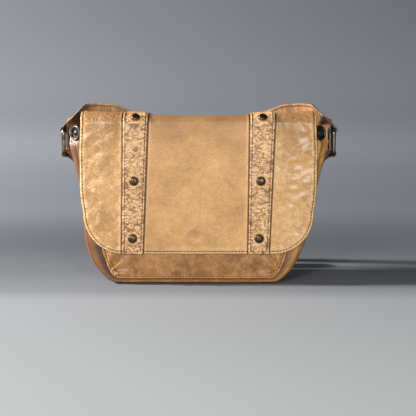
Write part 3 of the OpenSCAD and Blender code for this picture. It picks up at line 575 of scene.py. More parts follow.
side_rows, base_rows = [], []
for side in (-1, 1):
    for inset in (*SIDE_ROWS, BASE_ROW):
        path = panel_seam_path(side, inset)
        out = np.tile([0, side, 0.05], (len(path), 1))
        low = path[:, 2] < BASE_ROW_TOP
        first, last = np.argmax(low), len(low) - np.argmax(low[::-1])
        if inset == BASE_ROW:
            base_rows.append((path[first:last], out[first:last]))
        else:
            side_rows += [(path[:first + 1], out[:first + 1]),
                          (path[last - 1:], out[last - 1:])]
stitches("panel_side_stitches", side_rows, DARK_THREAD, "bag")
stitches("panel_base_stitches", base_rows, PALE_THREAD, "bag")

# Lining and facings. Cotton twill lines the whole bag, sewn in as its own loose pouch, and
# ends under a leather facing round the mouth. A twill slip pocket hangs on the back lining,
# and a board of bonded leather lies loose on the base.

TWILL_THICK = 0.8 * MM
TWILL_RIB = 1.6 * MM
# Thicker lengths in the yarn, about 4 mm apart
TWILL_SLUB = MM / 0.26
FACING_HIGH, FACING_THICK = 26 * MM, 1.0 * MM
LINING_GAP = 0.1 * MM
INSIDE = GUSSET_THICK + TWILL_THICK + 0.6 * MM
PANEL_BACK = PANEL_THICK + LINING_GAP
POCKET_HALF, POCKET_LOW, POCKET_HIGH = 75 * MM, 20.8 * MM, 115.8 * MM
POCKET_DEPTH, POCKET_SAG = PANEL_BACK + TWILL_THICK + 0.3 * MM, 1.6 * MM
BOARD_HALF_X, BOARD_HALF_Y = 71 * MM, 26 * MM
BOARD_LOW, BOARD_THICK = 2.75 * MM, 1.6 * MM


def woven_twill(name, pale, deep):
    """Cotton twill: fine slanting ribs, drawn coarser than life so that they show, matt."""
    made, tree, surface = blank(name)
    skin = add(tree, "Attribute", attribute_name="skin").outputs["Vector"]
    ribs = add(tree, "TexWave", {"Vector": skin, "Scale": 1 / (TWILL_RIB * 3.2),
                                 "Distortion": 0.4, "Detail": 2},
               wave_type="BANDS", bands_direction="DIAGONAL").outputs["Fac"]
    slub = add(tree, "TexNoise", {"Vector": skin, "Scale": 1 / TWILL_SLUB,
                                  "Detail": 4}).outputs["Fac"]
    both = add(tree, "Math", {0: ribs, 1: slub}, operation="MULTIPLY").outputs[0]
    span = add(tree, "MapRange", {"Value": both, "From Max": 0.6}).outputs[0]
    dye = add(tree, "Mix", {0: span, 6: linear(deep), 7: linear(pale)}, data_type="RGBA")
    tree.links.new(dye.outputs[2], surface.inputs["Base Color"])
    bump = add(tree, "Bump", {"Height": ribs, "Strength": 0.5, "Distance": 0.25 * MM})
    tree.links.new(bump.outputs[0], surface.inputs["Normal"])
    surface.inputs["Roughness"].default_value = 0.92
    surface.inputs["Sheen Weight"].default_value = 0.25
    return made


TWILL = woven_twill("cotton_twill_lining", pale="8c7a64", deep="5c4d3d")

lining_outer, lining_skin = gusset_grid(GUSSET_THICK + LINING_GAP, steps=5, across=32)
lining_inner, _ = gusset_grid(GUSSET_THICK + LINING_GAP + TWILL_THICK, steps=5, across=32)
# The strip's rows that each part of the lining takes
for part, keep in (("left", slice(0, 36)), ("base", slice(35, 66)), ("right", slice(65, None))):
    piece = sheet("lining_twill_" + part, lining_outer[keep], lining_inner[keep], [TWILL],
                  lining_skin[keep])
    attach(piece, "bag")
    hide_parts("lining_" + part)


def hung(name, half_at, low, high, side, depth, thick, material, node, sag=0.0):
    """A sheet that hangs on a panel's inner face, between two heights."""
    up = np.linspace(low, high, max(3, int((high - low) / (3 * MM))))
    across = np.linspace(-1, 1, 72)
    half = half_at(up)[:, None]
    x = across[None, :] * half
    z = up[:, None] * np.ones_like(x)
    belly = sag * np.cos(across * math.pi / 2)[None, :] \
        * np.sin(np.clip((up - low) / (high - low), 0, 1) * math.pi * 0.5)[:, None]
    loose = 0.15 * MM * rumple(x, z, 14 * MM, 21)
    x = x + leaning(z)
    outer = np.stack([x, side * (half_depth(z) - depth) + 0 * x, z], -1)
    inner = np.stack([x, side * (half_depth(z) - depth - thick - belly - loose), z], -1)
    piece = sheet(name, outer, inner, [material], np.stack([x, z * 0, z], -1))
    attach(piece, "bag")
    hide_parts(node)


for word, side in (("back", 1), ("front", -1)):
    hung("lining_twill_" + word, lambda z: seam_half(z) - INSIDE, SEAM_RISE + 2.5 * MM,
         BODY_HIGH - FACING_HIGH, side, PANEL_BACK, TWILL_THICK, TWILL,
         "lining_" + word)
    hung("facing_leather_" + word, lambda z: seam_half(z) - INSIDE, BODY_HIGH - FACING_HIGH,
         BODY_HIGH, side, PANEL_BACK, FACING_THICK, BODY_LEATHER_SHADED,
         "facing_" + word)
hung("slip_pocket_twill", lambda z: np.full_like(z, POCKET_HALF), POCKET_LOW, POCKET_HIGH, 1,
     POCKET_DEPTH, TWILL_THICK, TWILL, "slip_pocket", sag=POCKET_SAG)
board_x, board_y = np.meshgrid(spaced(2 * BOARD_HALF_X, NEAR_EDGE[:6], 4 * MM) - BOARD_HALF_X,
                               spaced(2 * BOARD_HALF_Y, NEAR_EDGE[:6], 4 * MM) - BOARD_HALF_Y)
board_off = np.minimum(BOARD_HALF_X - np.abs(board_x), BOARD_HALF_Y - np.abs(board_y))
board_top = BOARD_LOW + BOARD_THICK - 0.5 * MM * np.clip(1 - board_off / MM, 0, 1) ** 2
board = sheet("base_board_bonded", np.stack([board_x - LEAN, board_y, board_top], -1),
              np.stack([board_x - LEAN, board_y, board_x * 0 + BOARD_LOW], -1), [RAW_SIDE],
              np.stack([board_x, board_y, board_x * 0], -1))
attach(board, "bag")
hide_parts("base_board")

# Flap. One wide piece of waxed leather, sewn to a strip down the top of the back. It bends
# there, crosses the mouth, folds and hangs down the front. Its edge is turned, glued to a
# suede lining and stitched 2.6 mm in, and use has left it creased and cloudy.

FLAP_HALF = 124.5 * MM
FLAP_TOP_HALF = 123.2 * MM
FLAP_LOW = 33 * MM
FLAP_CREST = 184 * MM
FLAP_SAG = 7 * MM
FLAP_THICK = 2.2 * MM
FLAP_LINING_THICK = 1.2 * MM
FLAP_GAP = 0.8 * MM
FOLD_R = 1.14 * (FLAP_CREST - BODY_HIGH)
CORNER_R = 42 * MM
CORNER_X = FLAP_HALF - 1.08 * CORNER_R
CORNER_Z = FLAP_LOW + CORNER_R
EDGE_ROW = 2.6 * MM
HINGE_Z = 172.8 * MM
GRIP_RIGHT, GRIP_LEFT = 99 * MM, -103 * MM
GRIP_TOP, GRIP_LONG = 150 * MM, 88 * MM
MARK_X, MARK_Z = -4 * MM, 52 * MM
SUEDE_INSET, SUEDE_SUNK = 1.4 * MM, 0.55 * MM
# The strip down the back and the bend over the mouth: y and z in millimetres, and how much of
# the sag each place takes
FLAP_BACK = [[35.2, 148, 0], [34.7, 159, 0], [34.2, 168, 0], [34.35, 172.2, 0],
             [33.2, 175.0, 0.03], [30.2, 175.9, 0.08], [26.0, 176.9, 0.16],
             [16.8, 178.9, 0.48], [4.4, 181.8, 0.78], [-9.0, 183.5, 0.96]]
# Half the flap's width at these heights on its front
FLAP_SIDES = [(168 * MM, FLAP_TOP_HALF), (142 * MM, FLAP_HALF), (104 * MM, FLAP_HALF - 0.2 * MM),
              (88 * MM, FLAP_HALF - 1.4 * MM), (CORNER_Z, CORNER_X + CORNER_R)]

# The flap's leather is the body's without its painted shade, and it has had the most handling:
# pale, cloudy and shiny, and creased outside the trim straps
FLAP_LEATHER = leather("pull_up_leather_flap", pale="e6ac66", deep="c08a4e", worn="f4cd94",
                       gloss=0.34, crease=6.0, crease_depth=1.0, pore_depth=0.16, mottle=52,
                       grain=2.6, rubbing=0.62, waxing=0.32, held=56)


def flap_front(z):
    """The flap's outer face at this height down the front."""
    return -(half_depth(z) + FLAP_GAP + FLAP_THICK + FLAP_LINING_THICK)


def flap_profile():
    """Distance along the flap from the strip's lower edge, with y, z and share of the sag."""
    fold_z = FLAP_CREST - FOLD_R
    fold_y = flap_front(fold_z) + FOLD_R
    back = [[y * MM, z * MM, share] for y, z, share in FLAP_BACK]
    rise = through(back + [[fold_y, FLAP_CREST, 1]], 8)
    turn = np.radians(np.linspace(0, 90, 40))[1:]
    fold = np.stack([fold_y - FOLD_R * np.sin(turn), fold_z + FOLD_R * np.cos(turn),
                     np.cos(turn) ** 2], 1)
    down = np.linspace(fold_z, FLAP_LOW, 90)[1:]
    front = np.stack([flap_front(down), down, down * 0], 1)
    line = np.concatenate([rise, fold, front])
    return lengths(line[:, :2]), line


flap_run, flap_line = flap_profile()
FLAP_END = flap_run[-1]
FRONT_SLOPE = math.hypot(1, (BASE_DEEP - MOUTH_DEEP) / 2 / BODY_HIGH)


def front_run(z):
    """Distance along the flap of a height on its front."""
    return FLAP_END - (z - FLAP_LOW) * FRONT_SLOPE


def front_height(s):
    """The height of a place on the flap's front, from its distance along the flap."""
    return FLAP_LOW + (FLAP_END - s) / FRONT_SLOPE


CORNER_RUN = front_run(CORNER_Z)
HINGE_RUN = np.interp(HINGE_Z, flap_line[:40, 1], flap_run[:40])


def flap_half(s):
    """Half the flap's width at this distance along it."""
    stops = [0, HINGE_RUN - 2 * MM, HINGE_RUN + 9 * MM] + [front_run(z) for z, _ in FLAP_SIDES]
    halves = [PANEL_HALF, PANEL_HALF, FLAP_TOP_HALF] + [half for _, half in FLAP_SIDES]
    over = np.clip((s - CORNER_RUN) / CORNER_R, 0, 1)
    round_end = CORNER_X + CORNER_R * np.sqrt(np.clip(1 - over ** 2, 0, 1))
    return np.where(s > CORNER_RUN, round_end, np.interp(s, stops, halves))


def flap_edge_distance(x, s):
    """How far a point is from the flap's sides and lower edge."""
    beyond = np.hypot(np.clip(np.abs(x) - CORNER_X, 0, None),
                      np.clip(s - CORNER_RUN, 0, None))
    corner = CORNER_R - beyond
    plain = np.minimum(flap_half(s) - np.abs(x), FLAP_END - s)
    return np.where((np.abs(x) > CORNER_X) & (s > CORNER_RUN), corner, plain)


def flap_relief(x, s):
    """Slack, dents and creases that use has left in the flap's leather, most of them outside
    the trim straps, where nothing holds it flat."""
    hanging = np.clip((s - HINGE_RUN - 12 * MM) / (30 * MM), 0, 1)
    ends = np.clip((np.abs(x) - 74 * MM) / (14 * MM), 0, 1)
    broad = 0.8 * rumple(x, s, 62 * MM, 31) + 0.5 * rumple(x, s, 31 * MM, 32)
    tight = 0.42 * rumple(x, s, 15 * MM, 33) + 0.26 * rumple(x * 0.8 + s * 0.6, s, 7 * MM, 34) \
        + 0.12 * rumple(x, s * 0.7 - x * 0.5, 3.6 * MM, 37)
    cloudy = broad * (0.35 + 0.75 * ends) + tight * (0.2 + 1.1 * ends)
    # Short level creases, one over the other, where a hand lifts each end of the flap
    run = s - front_run(GRIP_TOP)
    down = np.clip(run / (12 * MM), 0, 1) * np.clip((GRIP_LONG - run) / (20 * MM), 0, 1)
    sway = 2.4 * MM * rumple(x, s, 17 * MM, 35)
    right = np.cos(2 * math.pi * (run + sway) / (9.5 * MM)) * bump_at(x, GRIP_RIGHT, 6.5 * MM)
    left = np.cos(2 * math.pi * (run + sway * 1.6 - x * 0.3) / (12 * MM)) \
        * bump_at(x, GRIP_LEFT, 8 * MM)
    pinched = (0.36 * right + 0.34 * left) * down * (0.7 + 0.5 * rumple(x, s, 13 * MM, 36))
    # A round mark low in the middle, where the leather is pressed against the bag
    mark = np.hypot(x - MARK_X, s - front_run(MARK_Z))
    dent = 0.55 * bump_at(mark, 8 * MM, 3 * MM) - 0.5 * bump_at(mark, 0, 5 * MM)
    # Both ends bow back a little from the trim straps to the sides
    bow = -1.6 * np.clip((np.abs(x) - 84 * MM) / (40 * MM), 0, 1) ** 2
    return (cloudy + pinched + dent + bow) * hanging * MM


def on_flap(x, s, lift):
    """Points at these places on the flap, this far out from its leather's face."""
    x, s = np.broadcast_arrays(np.asarray(x, float), np.asarray(s, float))

    def bare(run):
        y = np.interp(run, flap_run, flap_line[:, 0])
        z = np.interp(run, flap_run, flap_line[:, 1])
        share = np.interp(run, flap_run, flap_line[:, 2])
        return y, z - FLAP_SAG * share * np.cos(math.pi / 2 * x / FLAP_HALF)

    step = 1.5 * MM
    y, z = bare(s)
    y0, z0 = bare(np.clip(s - step, 0, FLAP_END))
    y1, z1 = bare(np.clip(s + step, 0, FLAP_END))
    long = np.hypot(y1 - y0, z1 - z0)
    up_y, up_z = (z1 - z0) / long, -(y1 - y0) / long
    out = lift + flap_relief(x, s)
    return np.stack([x, y + up_y * out, z + up_z * out], -1)


# Where the trim straps run comes here, because the flap is shaped along their edges: their
# widths, and their middles at top and bottom as shares of the panel's half width
TRIM_THICK = 1.8 * MM
TRIM_TOP_HALF, TRIM_LOW_HALF = 13 * MM, 11 * MM
TRIM_SHARES = {-1: (-0.562, -0.600), 1: (0.580, 0.545)}
TRIM_START_Y = 16.8 * MM
TRIM_START = np.interp(-TRIM_START_Y, -flap_line[:100, 0], flap_run[:100])
BESIDE_TRIM = np.array([3.6, 2.9, 2.2, 1.5, 0.9, 0.4, -0.4, -1.2]) * MM


def trim_share(s):
    """How far down the flap a place is, from 0 at its crest to 1 at its lower edge."""
    z = np.interp(s, flap_run, flap_line[:, 1])
    return np.clip((FLAP_CREST - z) / (FLAP_CREST - FLAP_LOW), 0, 1)


def trim_middle(side, s):
    """The x of a trim strap's middle at this distance along the flap."""
    top, low = TRIM_SHARES[side]
    return PANEL_HALF * (top + (low - top) * trim_share(s))


def trim_half(s):
    """Half a trim strap's width at this distance along the flap."""
    return TRIM_TOP_HALF + (TRIM_LOW_HALF - TRIM_TOP_HALF) * trim_share(s)


def flap_places(inset, first_run, side_steps):
    """A grid of places over the flap. Its rows are close together near the lower edge, and
    its columns near the sides and along both edges of each trim strap."""
    straight = np.arange(first_run, CORNER_RUN, 1.7 * MM)
    turn = np.radians(np.linspace(0, 90, 52))
    curved = CORNER_RUN + (CORNER_R - inset) * np.sin(turn)
    s = np.concatenate([straight, curved])
    half = np.concatenate([flap_half(straight) - inset,
                           CORNER_X + (CORNER_R - inset) * np.cos(turn)])
    marks = [[-(half - step) for step in side_steps]]
    for side in (-1, 1):
        middle, wide = trim_middle(side, s), trim_half(s)
        marks.append([middle - wide - step for step in BESIDE_TRIM])
        marks.append([middle + wide + step for step in BESIDE_TRIM[::-1]])
    marks.append([half - step for step in side_steps[::-1]])
    columns = []
    for group, after, fill in zip(marks, marks[1:] + [None], (18, 6, 56, 6, 18, 0)):
        columns += group
        for k in range(1, fill):
            columns.append(group[-1] + (after[0] - group[-1]) * k / fill)
    x = np.stack(columns, 1)
    # Past the round corners the outer columns close up instead of crossing the edge
    count, edge = x.shape[1], len(side_steps)
    order = np.arange(count)
    least = -(half - side_steps[-1])[:, None] + 0.04 * MM * (order - edge + 1)
    most = (half - side_steps[-1])[:, None] - 0.04 * MM * (count - edge - order)
    held = np.minimum(np.maximum(x, least), most)
    x = np.where((order < edge) | (order >= count - edge), x, held)
    return x, s[:, None] * np.ones_like(x)


flap_x, flap_s = flap_places(0, 0, NEAR_EDGE)
edge_off = flap_edge_distance(flap_x, flap_s)
flap_lift = (-1.0 * MM * np.clip(1 - edge_off / (1.5 * MM), 0, 1) ** 2
             - 0.45 * MM * bump_at(edge_off, EDGE_ROW, 0.55 * MM)
             + 0.25 * MM * bump_at(edge_off, 5.2 * MM, 2.0 * MM))
flap_under = -FLAP_THICK + 0.5 * MM * np.clip(1 - edge_off / (1.5 * MM), 0, 1) ** 2
flap_skin = np.stack([flap_x, flap_s, flap_x * 0], -1)
# Paler on the rim of the turned edge and in a band inside the stitches; darker at the very edge,
# and darker in the stitch groove: painted shade
flap_wear_and_shade = (0.6 * bump_at(edge_off, 1.2 * MM, 0.7 * MM)
               - 0.35 * bump_at(edge_off, EDGE_ROW, 0.55 * MM)
               - 0.6 * bump_at(edge_off, 0, 0.45 * MM)
               + 0.25 * bump_at(edge_off, 4.6 * MM, 1.4 * MM))
# Darker under the crest and in clouds over the upper flap: painted shade, where less light
# falls. Darker low on the left, painted shade where the flap bends away; darker high on the right
# and paler low on the right. Each patch: strength, x and half width, z and half height
flap_z = front_height(flap_s)
tone = 0.5 + 0.5 * rumple(flap_x, flap_s, 26 * MM, 38)
flap_wear_and_shade -= 0.30 * np.clip((flap_z - 166 * MM) / (8 * MM), 0, 1)
flap_wear_and_shade -= 0.24 * np.clip((flap_z - 128 * MM) / (38 * MM), 0, 1) * (0.5 + 0.5 * tone)
for worn, x, wide, z, high in ((0.22, 98, 18, 66, 28), (-0.20 * tone, -95, 22, 60, 26),
                               (-0.20 * tone, 96, 20, 150, 34)):
    flap_wear_and_shade += worn * bump_at(flap_x, x * MM, wide * MM) * bump_at(flap_z, z * MM, high * MM)
for side in (-1, 1):
    # A painted shadow on the flap along both edges of each trim strap, and a paler raised ridge
    # beyond them
    beside = np.abs(flap_x - trim_middle(side, flap_s)) - trim_half(flap_s)
    on_front = flap_s > TRIM_START
    flap_wear_and_shade = np.where(on_front, flap_wear_and_shade - 1.25 * bump_at(beside, 0.5 * MM, 0.75 * MM)
                           + 0.35 * bump_at(beside, 2.2 * MM, 0.8 * MM), flap_wear_and_shade)
    flap_lift = flap_lift + on_front * (0.35 * MM * bump_at(beside, 2.2 * MM, 0.9 * MM)
                                        - 0.35 * MM * bump_at(beside, 0.6 * MM, 0.6 * MM))
flap = sheet("flap_leather", on_flap(flap_x, flap_s, flap_lift),
             on_flap(flap_x, flap_s, flap_under), [FLAP_LEATHER, EDGE_INK, RAW_SIDE], flap_skin,
             flap_wear_and_shade)
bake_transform(flap)
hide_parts("flap_panel", "flap_yoke", "flap_hinge_welt")

# The suede is pressed in under the rim of each snap stud
suede_x, suede_s = flap_places(SUEDE_INSET, HINGE_RUN + 13 * MM, NEAR_EDGE[::3])
suede_ring = from_snap(suede_x, front_height(suede_s))
suede_under = -FLAP_THICK - FLAP_LINING_THICK \
    + SUEDE_SUNK * np.clip((SNAP_R + 4 * MM - suede_ring) / (3 * MM), 0, 1)
suede = sheet("flap_lining_suede", on_flap(suede_x, suede_s, -FLAP_THICK - 0.1 * MM),
              on_flap(suede_x, suede_s, suede_under), [RAW_SIDE],
              np.stack([suede_x, suede_s, suede_x * 0 + 1], -1))
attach(suede, "flap")
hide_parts("flap_lining")


def flap_edge_path(inset, first_run):
    """Places along the flap's sides and lower edge, this far in from them."""
    straight = np.arange(first_run, CORNER_RUN, 2 * MM)
    turn = np.radians(np.linspace(0, 90, 30))
    s = np.concatenate([straight, CORNER_RUN + (CORNER_R - inset) * np.sin(turn)])
    x = np.concatenate([flap_half(straight) - inset,
                        CORNER_X + (CORNER_R - inset) * np.cos(turn)])
    flat = np.linspace(CORNER_X, -CORNER_X, 60)[1:-1]
    return (np.concatenate([x, flat, -x[::-1]]),
            np.concatenate([s, np.full_like(flat, FLAP_END - inset), s[::-1]]))


def row_on_flap(x, s, lift):
    """A stitch row's path over the flap with its outward directions."""
    path = on_flap(x, s, lift)
    return path, unit(on_flap(x, s, lift + MM) - path)


edge_x, edge_s = flap_edge_path(EDGE_ROW, HINGE_RUN + 16 * MM)
stitches("flap_edge_stitches", [row_on_flap(edge_x, edge_s, -0.30 * MM)], DARK_THREAD, "flap")
yoke_x = np.linspace(-112, 112, 90) * MM
yoke_rows = [row_on_flap(yoke_x, np.full_like(yoke_x, s * MM), 0.05 * MM) for s in (3.0, 6.0)]
stitches("yoke_stitches", yoke_rows, PALE_THREAD, "bag")

# Trim straps. Two straps of shrunken, pebbled leather lie over the flap from front to back.
# Their edges are inked dark, and a row of thread runs down both sides of each.

TRIM_ROW = 2.3 * MM
RIVET_R = 4.5 * MM
RIVET_FOLD = math.radians(57)
RIVET_HEIGHTS = (110 * MM, 49.6 * MM)
# The fine creases of the pebbled grain: each set's slant, size and how far it is drawn out
PEBBLE_CREASES = ((0.32, 2.1, 0.36), (-0.40, 2.5, 0.40), (0.05, 1.7, 0.26))

# The pebbles are painted paler on their tops and darker between them, painted light and shade on
# their relief, which gives a crackled look
TRIM_LEATHER = leather("pebbled_trim_leather", pale="dda468", deep="b67e46", worn="f4cc96",
                       dirt_and_shade="6a4426", gloss=0.38, crease=6, crease_depth=0.3, pore_depth=0.12,
                       grain=2.2, mottle=18)


def trim_pebbles(x, s, seed):
    """Shrunken grain: low pillows with creases between them that run crosswise and meet."""
    creases = []
    for turn, size, stretch in PEBBLE_CREASES:
        sway = 1.2 * MM * rumple(x, s, 9 * MM, seed + int(size * 10))
        along = (x * math.cos(turn) + s * math.sin(turn)) * stretch
        over = s * math.cos(turn) - x * math.sin(turn) + sway
        creases.append(np.abs(rumple(along, over, size * MM, seed + int(size * 10) + 1)))
    pillow = 1 - np.exp(-np.minimum(np.minimum(*creases[:2]), creases[2] * 1.5) / 0.10)
    return (0.62 * pillow - 0.41 + 0.04 * rumple(x, s, 5 * MM, seed + 2)) * MM


fold_first_run = front_run(FLAP_CREST - FOLD_R) - FOLD_R * math.pi / 2
rivet_runs = [fold_first_run + FOLD_R * RIVET_FOLD] + [front_run(z) for z in RIVET_HEIGHTS]
trim_rows = []
for side, word in ((-1, "left"), (1, "right")):
    s = np.concatenate([np.arange(TRIM_START, FLAP_END - 3 * MM, 0.62 * MM),
                        FLAP_END - NEAR_EDGE[6::-1]])
    middle, half = trim_middle(side, s)[:, None], trim_half(s)[:, None]
    steps = spaced(2.0, NEAR_EDGE[:9] / TRIM_LOW_HALF, 0.055)[None, :] - 1
    x = middle + half * steps
    s = s[:, None] * np.ones_like(x)
    off = np.minimum(half * (1 - np.abs(steps)), np.minimum(FLAP_END - s, s - TRIM_START))
    pebble = trim_pebbles(x, s, 40 + side * 3)
    lift = (TRIM_THICK - 0.75 * MM * np.clip(1 - off / (1.1 * MM), 0, 1) ** 2
            - 0.35 * MM * bump_at(off, TRIM_ROW, 0.5 * MM)
            + pebble * np.clip((off - 1.2 * MM) / (2 * MM), 0, 1))
    skin = np.stack([x, s, x * 0 + side], -1)
    # Paler on the pebbles' tops and darker between them: painted light and shade on their relief.
    # Darker in the stitch groove, painted shade, and dark at the inked edge, with a paler rim
    # inside it
    wear_and_shade = (np.clip(pebble / MM * 3.2, -0.8, 0.5) - 0.4 * bump_at(off, TRIM_ROW, 0.5 * MM)
              - 0.95 * np.clip(1 - off / (0.9 * MM), 0, 1)
              + 0.35 * bump_at(off, 1.35 * MM, 0.35 * MM))
    # Each rivet pulls the leather down, with painted shade close round its cap and a pale ring
    # beyond it
    for seat in rivet_runs:
        ring = np.hypot(x - trim_middle(side, seat), s - seat)
        calm = np.clip((ring - RIVET_R) / (3 * MM), 0, 1)
        lift = TRIM_THICK + (lift - TRIM_THICK) * calm - 0.3 * MM * bump_at(ring, RIVET_R, 1.2 * MM)
        wear_and_shade = wear_and_shade * calm + 0.55 * bump_at(ring, 6.4 * MM, 0.9 * MM) \
            - 0.7 * bump_at(ring, RIVET_R + 0.3 * MM, 0.6 * MM)
    trim = sheet("trim_strap_leather_" + word, on_flap(x, s, lift),
                 on_flap(x, s, 0.1 * MM), [TRIM_LEATHER, EDGE_INK, RAW_SIDE], skin, wear_and_shade)
    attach(trim, "flap")
    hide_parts("trim_strap_" + word)
    for edge in (-1, 1):
        s = np.arange(TRIM_START + 3 * MM, FLAP_END - 2 * MM, 2 * MM)
        x = trim_middle(side, s) + edge * (trim_half(s) - TRIM_ROW)
        trim_rows.append(row_on_flap(x, s, TRIM_THICK - 0.22 * MM))
stitches("trim_stitches", trim_rows, DARK_THREAD, "flap")

# Rivets. Double-cap rivets hold the trim straps: domed caps of antiqued brass on the flap's
# face, with small flat backs on its lining.

RIVET_HIGH = 2.16 * MM
# Fine scratches, drawn about 0.7 mm apart so that they show
SCUFF_GAP = MM / 1.4


def antiqued(name, bright, dark, gloss, patch=7.0):
    """Darkened metal, worn back by use: bright where it is handled, dull brown in patches."""
    made, tree, surface = blank(name)
    place = add(tree, "TexCoord").outputs["Object"]
    tarnish = add(tree, "TexNoise", {"Vector": place, "Scale": 1000 / patch, "Detail": 5,
                                     "Roughness": 0.65}).outputs["Fac"]
    share = add(tree, "MapRange", {"Value": tarnish, "From Min": 0.36, "From Max": 0.66})
    tint = add(tree, "Mix", {0: share.outputs[0], 6: linear(dark), 7: linear(bright)},
               data_type="RGBA")
    tree.links.new(tint.outputs[2], surface.inputs["Base Color"])
    dull = add(tree, "MapRange", {"Value": tarnish, "From Min": 0.3, "From Max": 0.7,
                                  "To Min": gloss + 0.18, "To Max": gloss}).outputs[0]
    tree.links.new(dull, surface.inputs["Roughness"])
    scuff = add(tree, "TexNoise", {"Vector": place, "Scale": 1 / SCUFF_GAP,
                                   "Detail": 3}).outputs["Fac"]
    bump = add(tree, "Bump", {"Height": scuff, "Strength": 0.25, "Distance": 0.05 * MM})
    tree.links.new(bump.outputs[0], surface.inputs["Normal"])
    surface.inputs["Metallic"].default_value = 1
    return made


# The brass has gone brown, the nickel is the brightest, and the steel is a dark grey
ANTIQUE_BRASS = antiqued("antiqued_brass_plate", bright="6e5a44", dark="33261a", gloss=0.30,
                         patch=2.4)
ANTIQUE_NICKEL = antiqued("antiqued_nickel_plate", bright="989080", dark="2e2924", gloss=0.22)
BLACKENED_STEEL = antiqued("blackened_steel", bright="6c6458", dark="1f1a16", gloss=0.30,
                          patch=3)


def turned(name, profile, seats, material, body, nodes):
    """Small turned parts: the profile (radius, height) spun about each seat's normal."""
    points, faces = [], []
    sides = 40
    angle = np.linspace(0, 2 * math.pi, sides, endpoint=False)
    for centre, up in seats:
        across = unit(np.cross(up, [0, 1, 0] if abs(up[1]) < 0.9 else [1, 0, 0]))
        other = np.cross(up, across)
        faces += tube_faces(len(points), len(profile), sides)
        points += [centre + up * h + (across * math.cos(a) + other * math.sin(a)) * r
                   for r, h in profile for a in angle]
    piece = finish_mesh(name, points, faces, [material], [0] * len(faces), points,
                        sharp=math.radians(35))
    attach(piece, body)
    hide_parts(*nodes)


def flap_seat(x, s, lift):
    """A seat on the flap's outer face, with the way out from it."""
    base = on_flap(x, s, 0)
    out = unit(on_flap(x, s, MM) - base)
    return base + out * (lift - flap_relief(x, s)), out


rivet_seats = [flap_seat(trim_middle(side, s), s, TRIM_THICK - 0.1 * MM)
               for side in (-1, 1) for s in rivet_runs]
dome = [[RIVET_R * 0.985, 0], [RIVET_R, 0.25 * MM], [RIVET_R * 0.985, 0.5 * MM]] \
    + [[RIVET_R * math.cos(a), 0.5 * MM + (RIVET_HIGH - 0.3 * MM) * math.sin(a)]
       for a in np.radians(np.linspace(14, 88, 12))]
turned("trim_rivet_caps", dome, rivet_seats, ANTIQUE_BRASS, "flap",
       ["flap_rivets"])
# The rivets' backs, the snaps and the side tabs' rivets keep their own shapes
for node in ("flap_rivet_backs", "snap_studs", "snap_sockets", "snap_backs",
             "gusset_snap_studs", "gusset_snap_sockets", "tab_rivets"):
    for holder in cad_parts[node].material_slots:
        holder.material = ANTIQUE_BRASS

# Gusset eyelets. A rolled eyelet of blackened steel is set through each gusset's front corner,
# close under the rim. A cup closes it from inside, painted near black as the shade in the
# eyelet's hollow, with a small domed stud of nickel in its middle.

EYELET_WIRE = 1.3 * MM
EYELET_PROUD = 0.6 * MM
EYELET_HOLE = EYELET_R - 1.5 * EYELET_WIRE
# The cup's and the stud's profiles: radius, and height over the leather
CUP_FORM = [[EYELET_HOLE, -0.4 * MM], [EYELET_HOLE, 0.35 * MM], [EYELET_HOLE * 0.5, 0.15 * MM]]
STUD_FORM = [[2.6 * MM, 0], [2.5 * MM, 0.8 * MM], [1.7 * MM, 1.3 * MM], [0.5 * MM, 1.5 * MM]]

# The cup's near black is painted shade for the eyelet's hollow, in a satin paint like the edge ink,
# with the same slight unevenness
EYELET_CUP_SHADE = inked_edge("eyelet_cup_painted_shade", "15110e", gloss=0.35)


def swept(name, path, ups, radius, material, closed=False):
    """A round wire along a path, with an even section."""
    sides = 20
    if closed:
        along = unit(np.roll(path, -1, axis=0) - np.roll(path, 1, axis=0))
    else:
        along = unit(np.gradient(path, axis=0))
    ups = np.broadcast_to(np.array(ups, float), path.shape)
    first = unit(ups - along * np.sum(ups * along, axis=1, keepdims=True))
    second = np.cross(along, first)
    angle = np.linspace(0, 2 * math.pi, sides, endpoint=False)
    ring = (np.cos(angle)[None, :, None] * first[:, None]
            + np.sin(angle)[None, :, None] * second[:, None])
    points = (path[:, None] + ring * radius).reshape(-1, 3)
    faces = tube_faces(0, len(path), sides, closed)
    return finish_mesh(name, points, faces, [material], [0] * len(faces), points,
                       sharp=math.radians(60))


for (centre, normal), word in zip(EYELETS, ("left", "right")):
    level = unit(np.cross(normal, [0, 0, 1]))
    upward = np.cross(level, normal)
    angle = np.linspace(0, 2 * math.pi, 60, endpoint=False)[:, None]
    hoop = centre + normal * EYELET_PROUD + (EYELET_R - EYELET_WIRE) * (
        level * np.cos(angle) + upward * np.sin(angle))
    rim = swept("gusset_eyelet_" + word, hoop, normal, EYELET_WIRE, BLACKENED_STEEL, closed=True)
    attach(rim, "bag")
    turned("gusset_eyelet_cup_" + word, CUP_FORM, [(centre, normal)], EYELET_CUP_SHADE, "bag",
           [])
    turned("gusset_eyelet_stud_" + word, STUD_FORM, [(centre, normal)], ANTIQUE_NICKEL, "bag",
           [])

# Rings and side tabs. Each ring is a rectangle of antiqued nickel wire. It hangs in a strap
# of pebbled leather that is folded round its lower bar, and stitched and riveted down the
# middle of the gusset.

RING_X, RING_Y = 144.275 * MM, 6.4 * MM
RING_LOW, RING_HIGH = 136 * MM, 161.5 * MM
RING_WIRE = 2.25 * MM
RING_HALF = 17.25 * MM
RING_CORNER = 3.6 * MM
LOOP_STEP = 1.2 * MM
TAB_HALF = 13.44 * MM
TAB_THICK = 3.0 * MM
TAB_LAYER = TAB_THICK / 4
TAB_ROW_Y = TAB_HALF - TRIM_ROW
# The tab's middle from its lower end up to the ring's bar: x and z in millimetres
TAB_RISE = [[123.7, 85.7], [125.4, 94.9], [127.4, 105.2], [130.2, 118.5], [134.0, 128.2],
            [139.2, 133.6], [144.275, 136.0]]

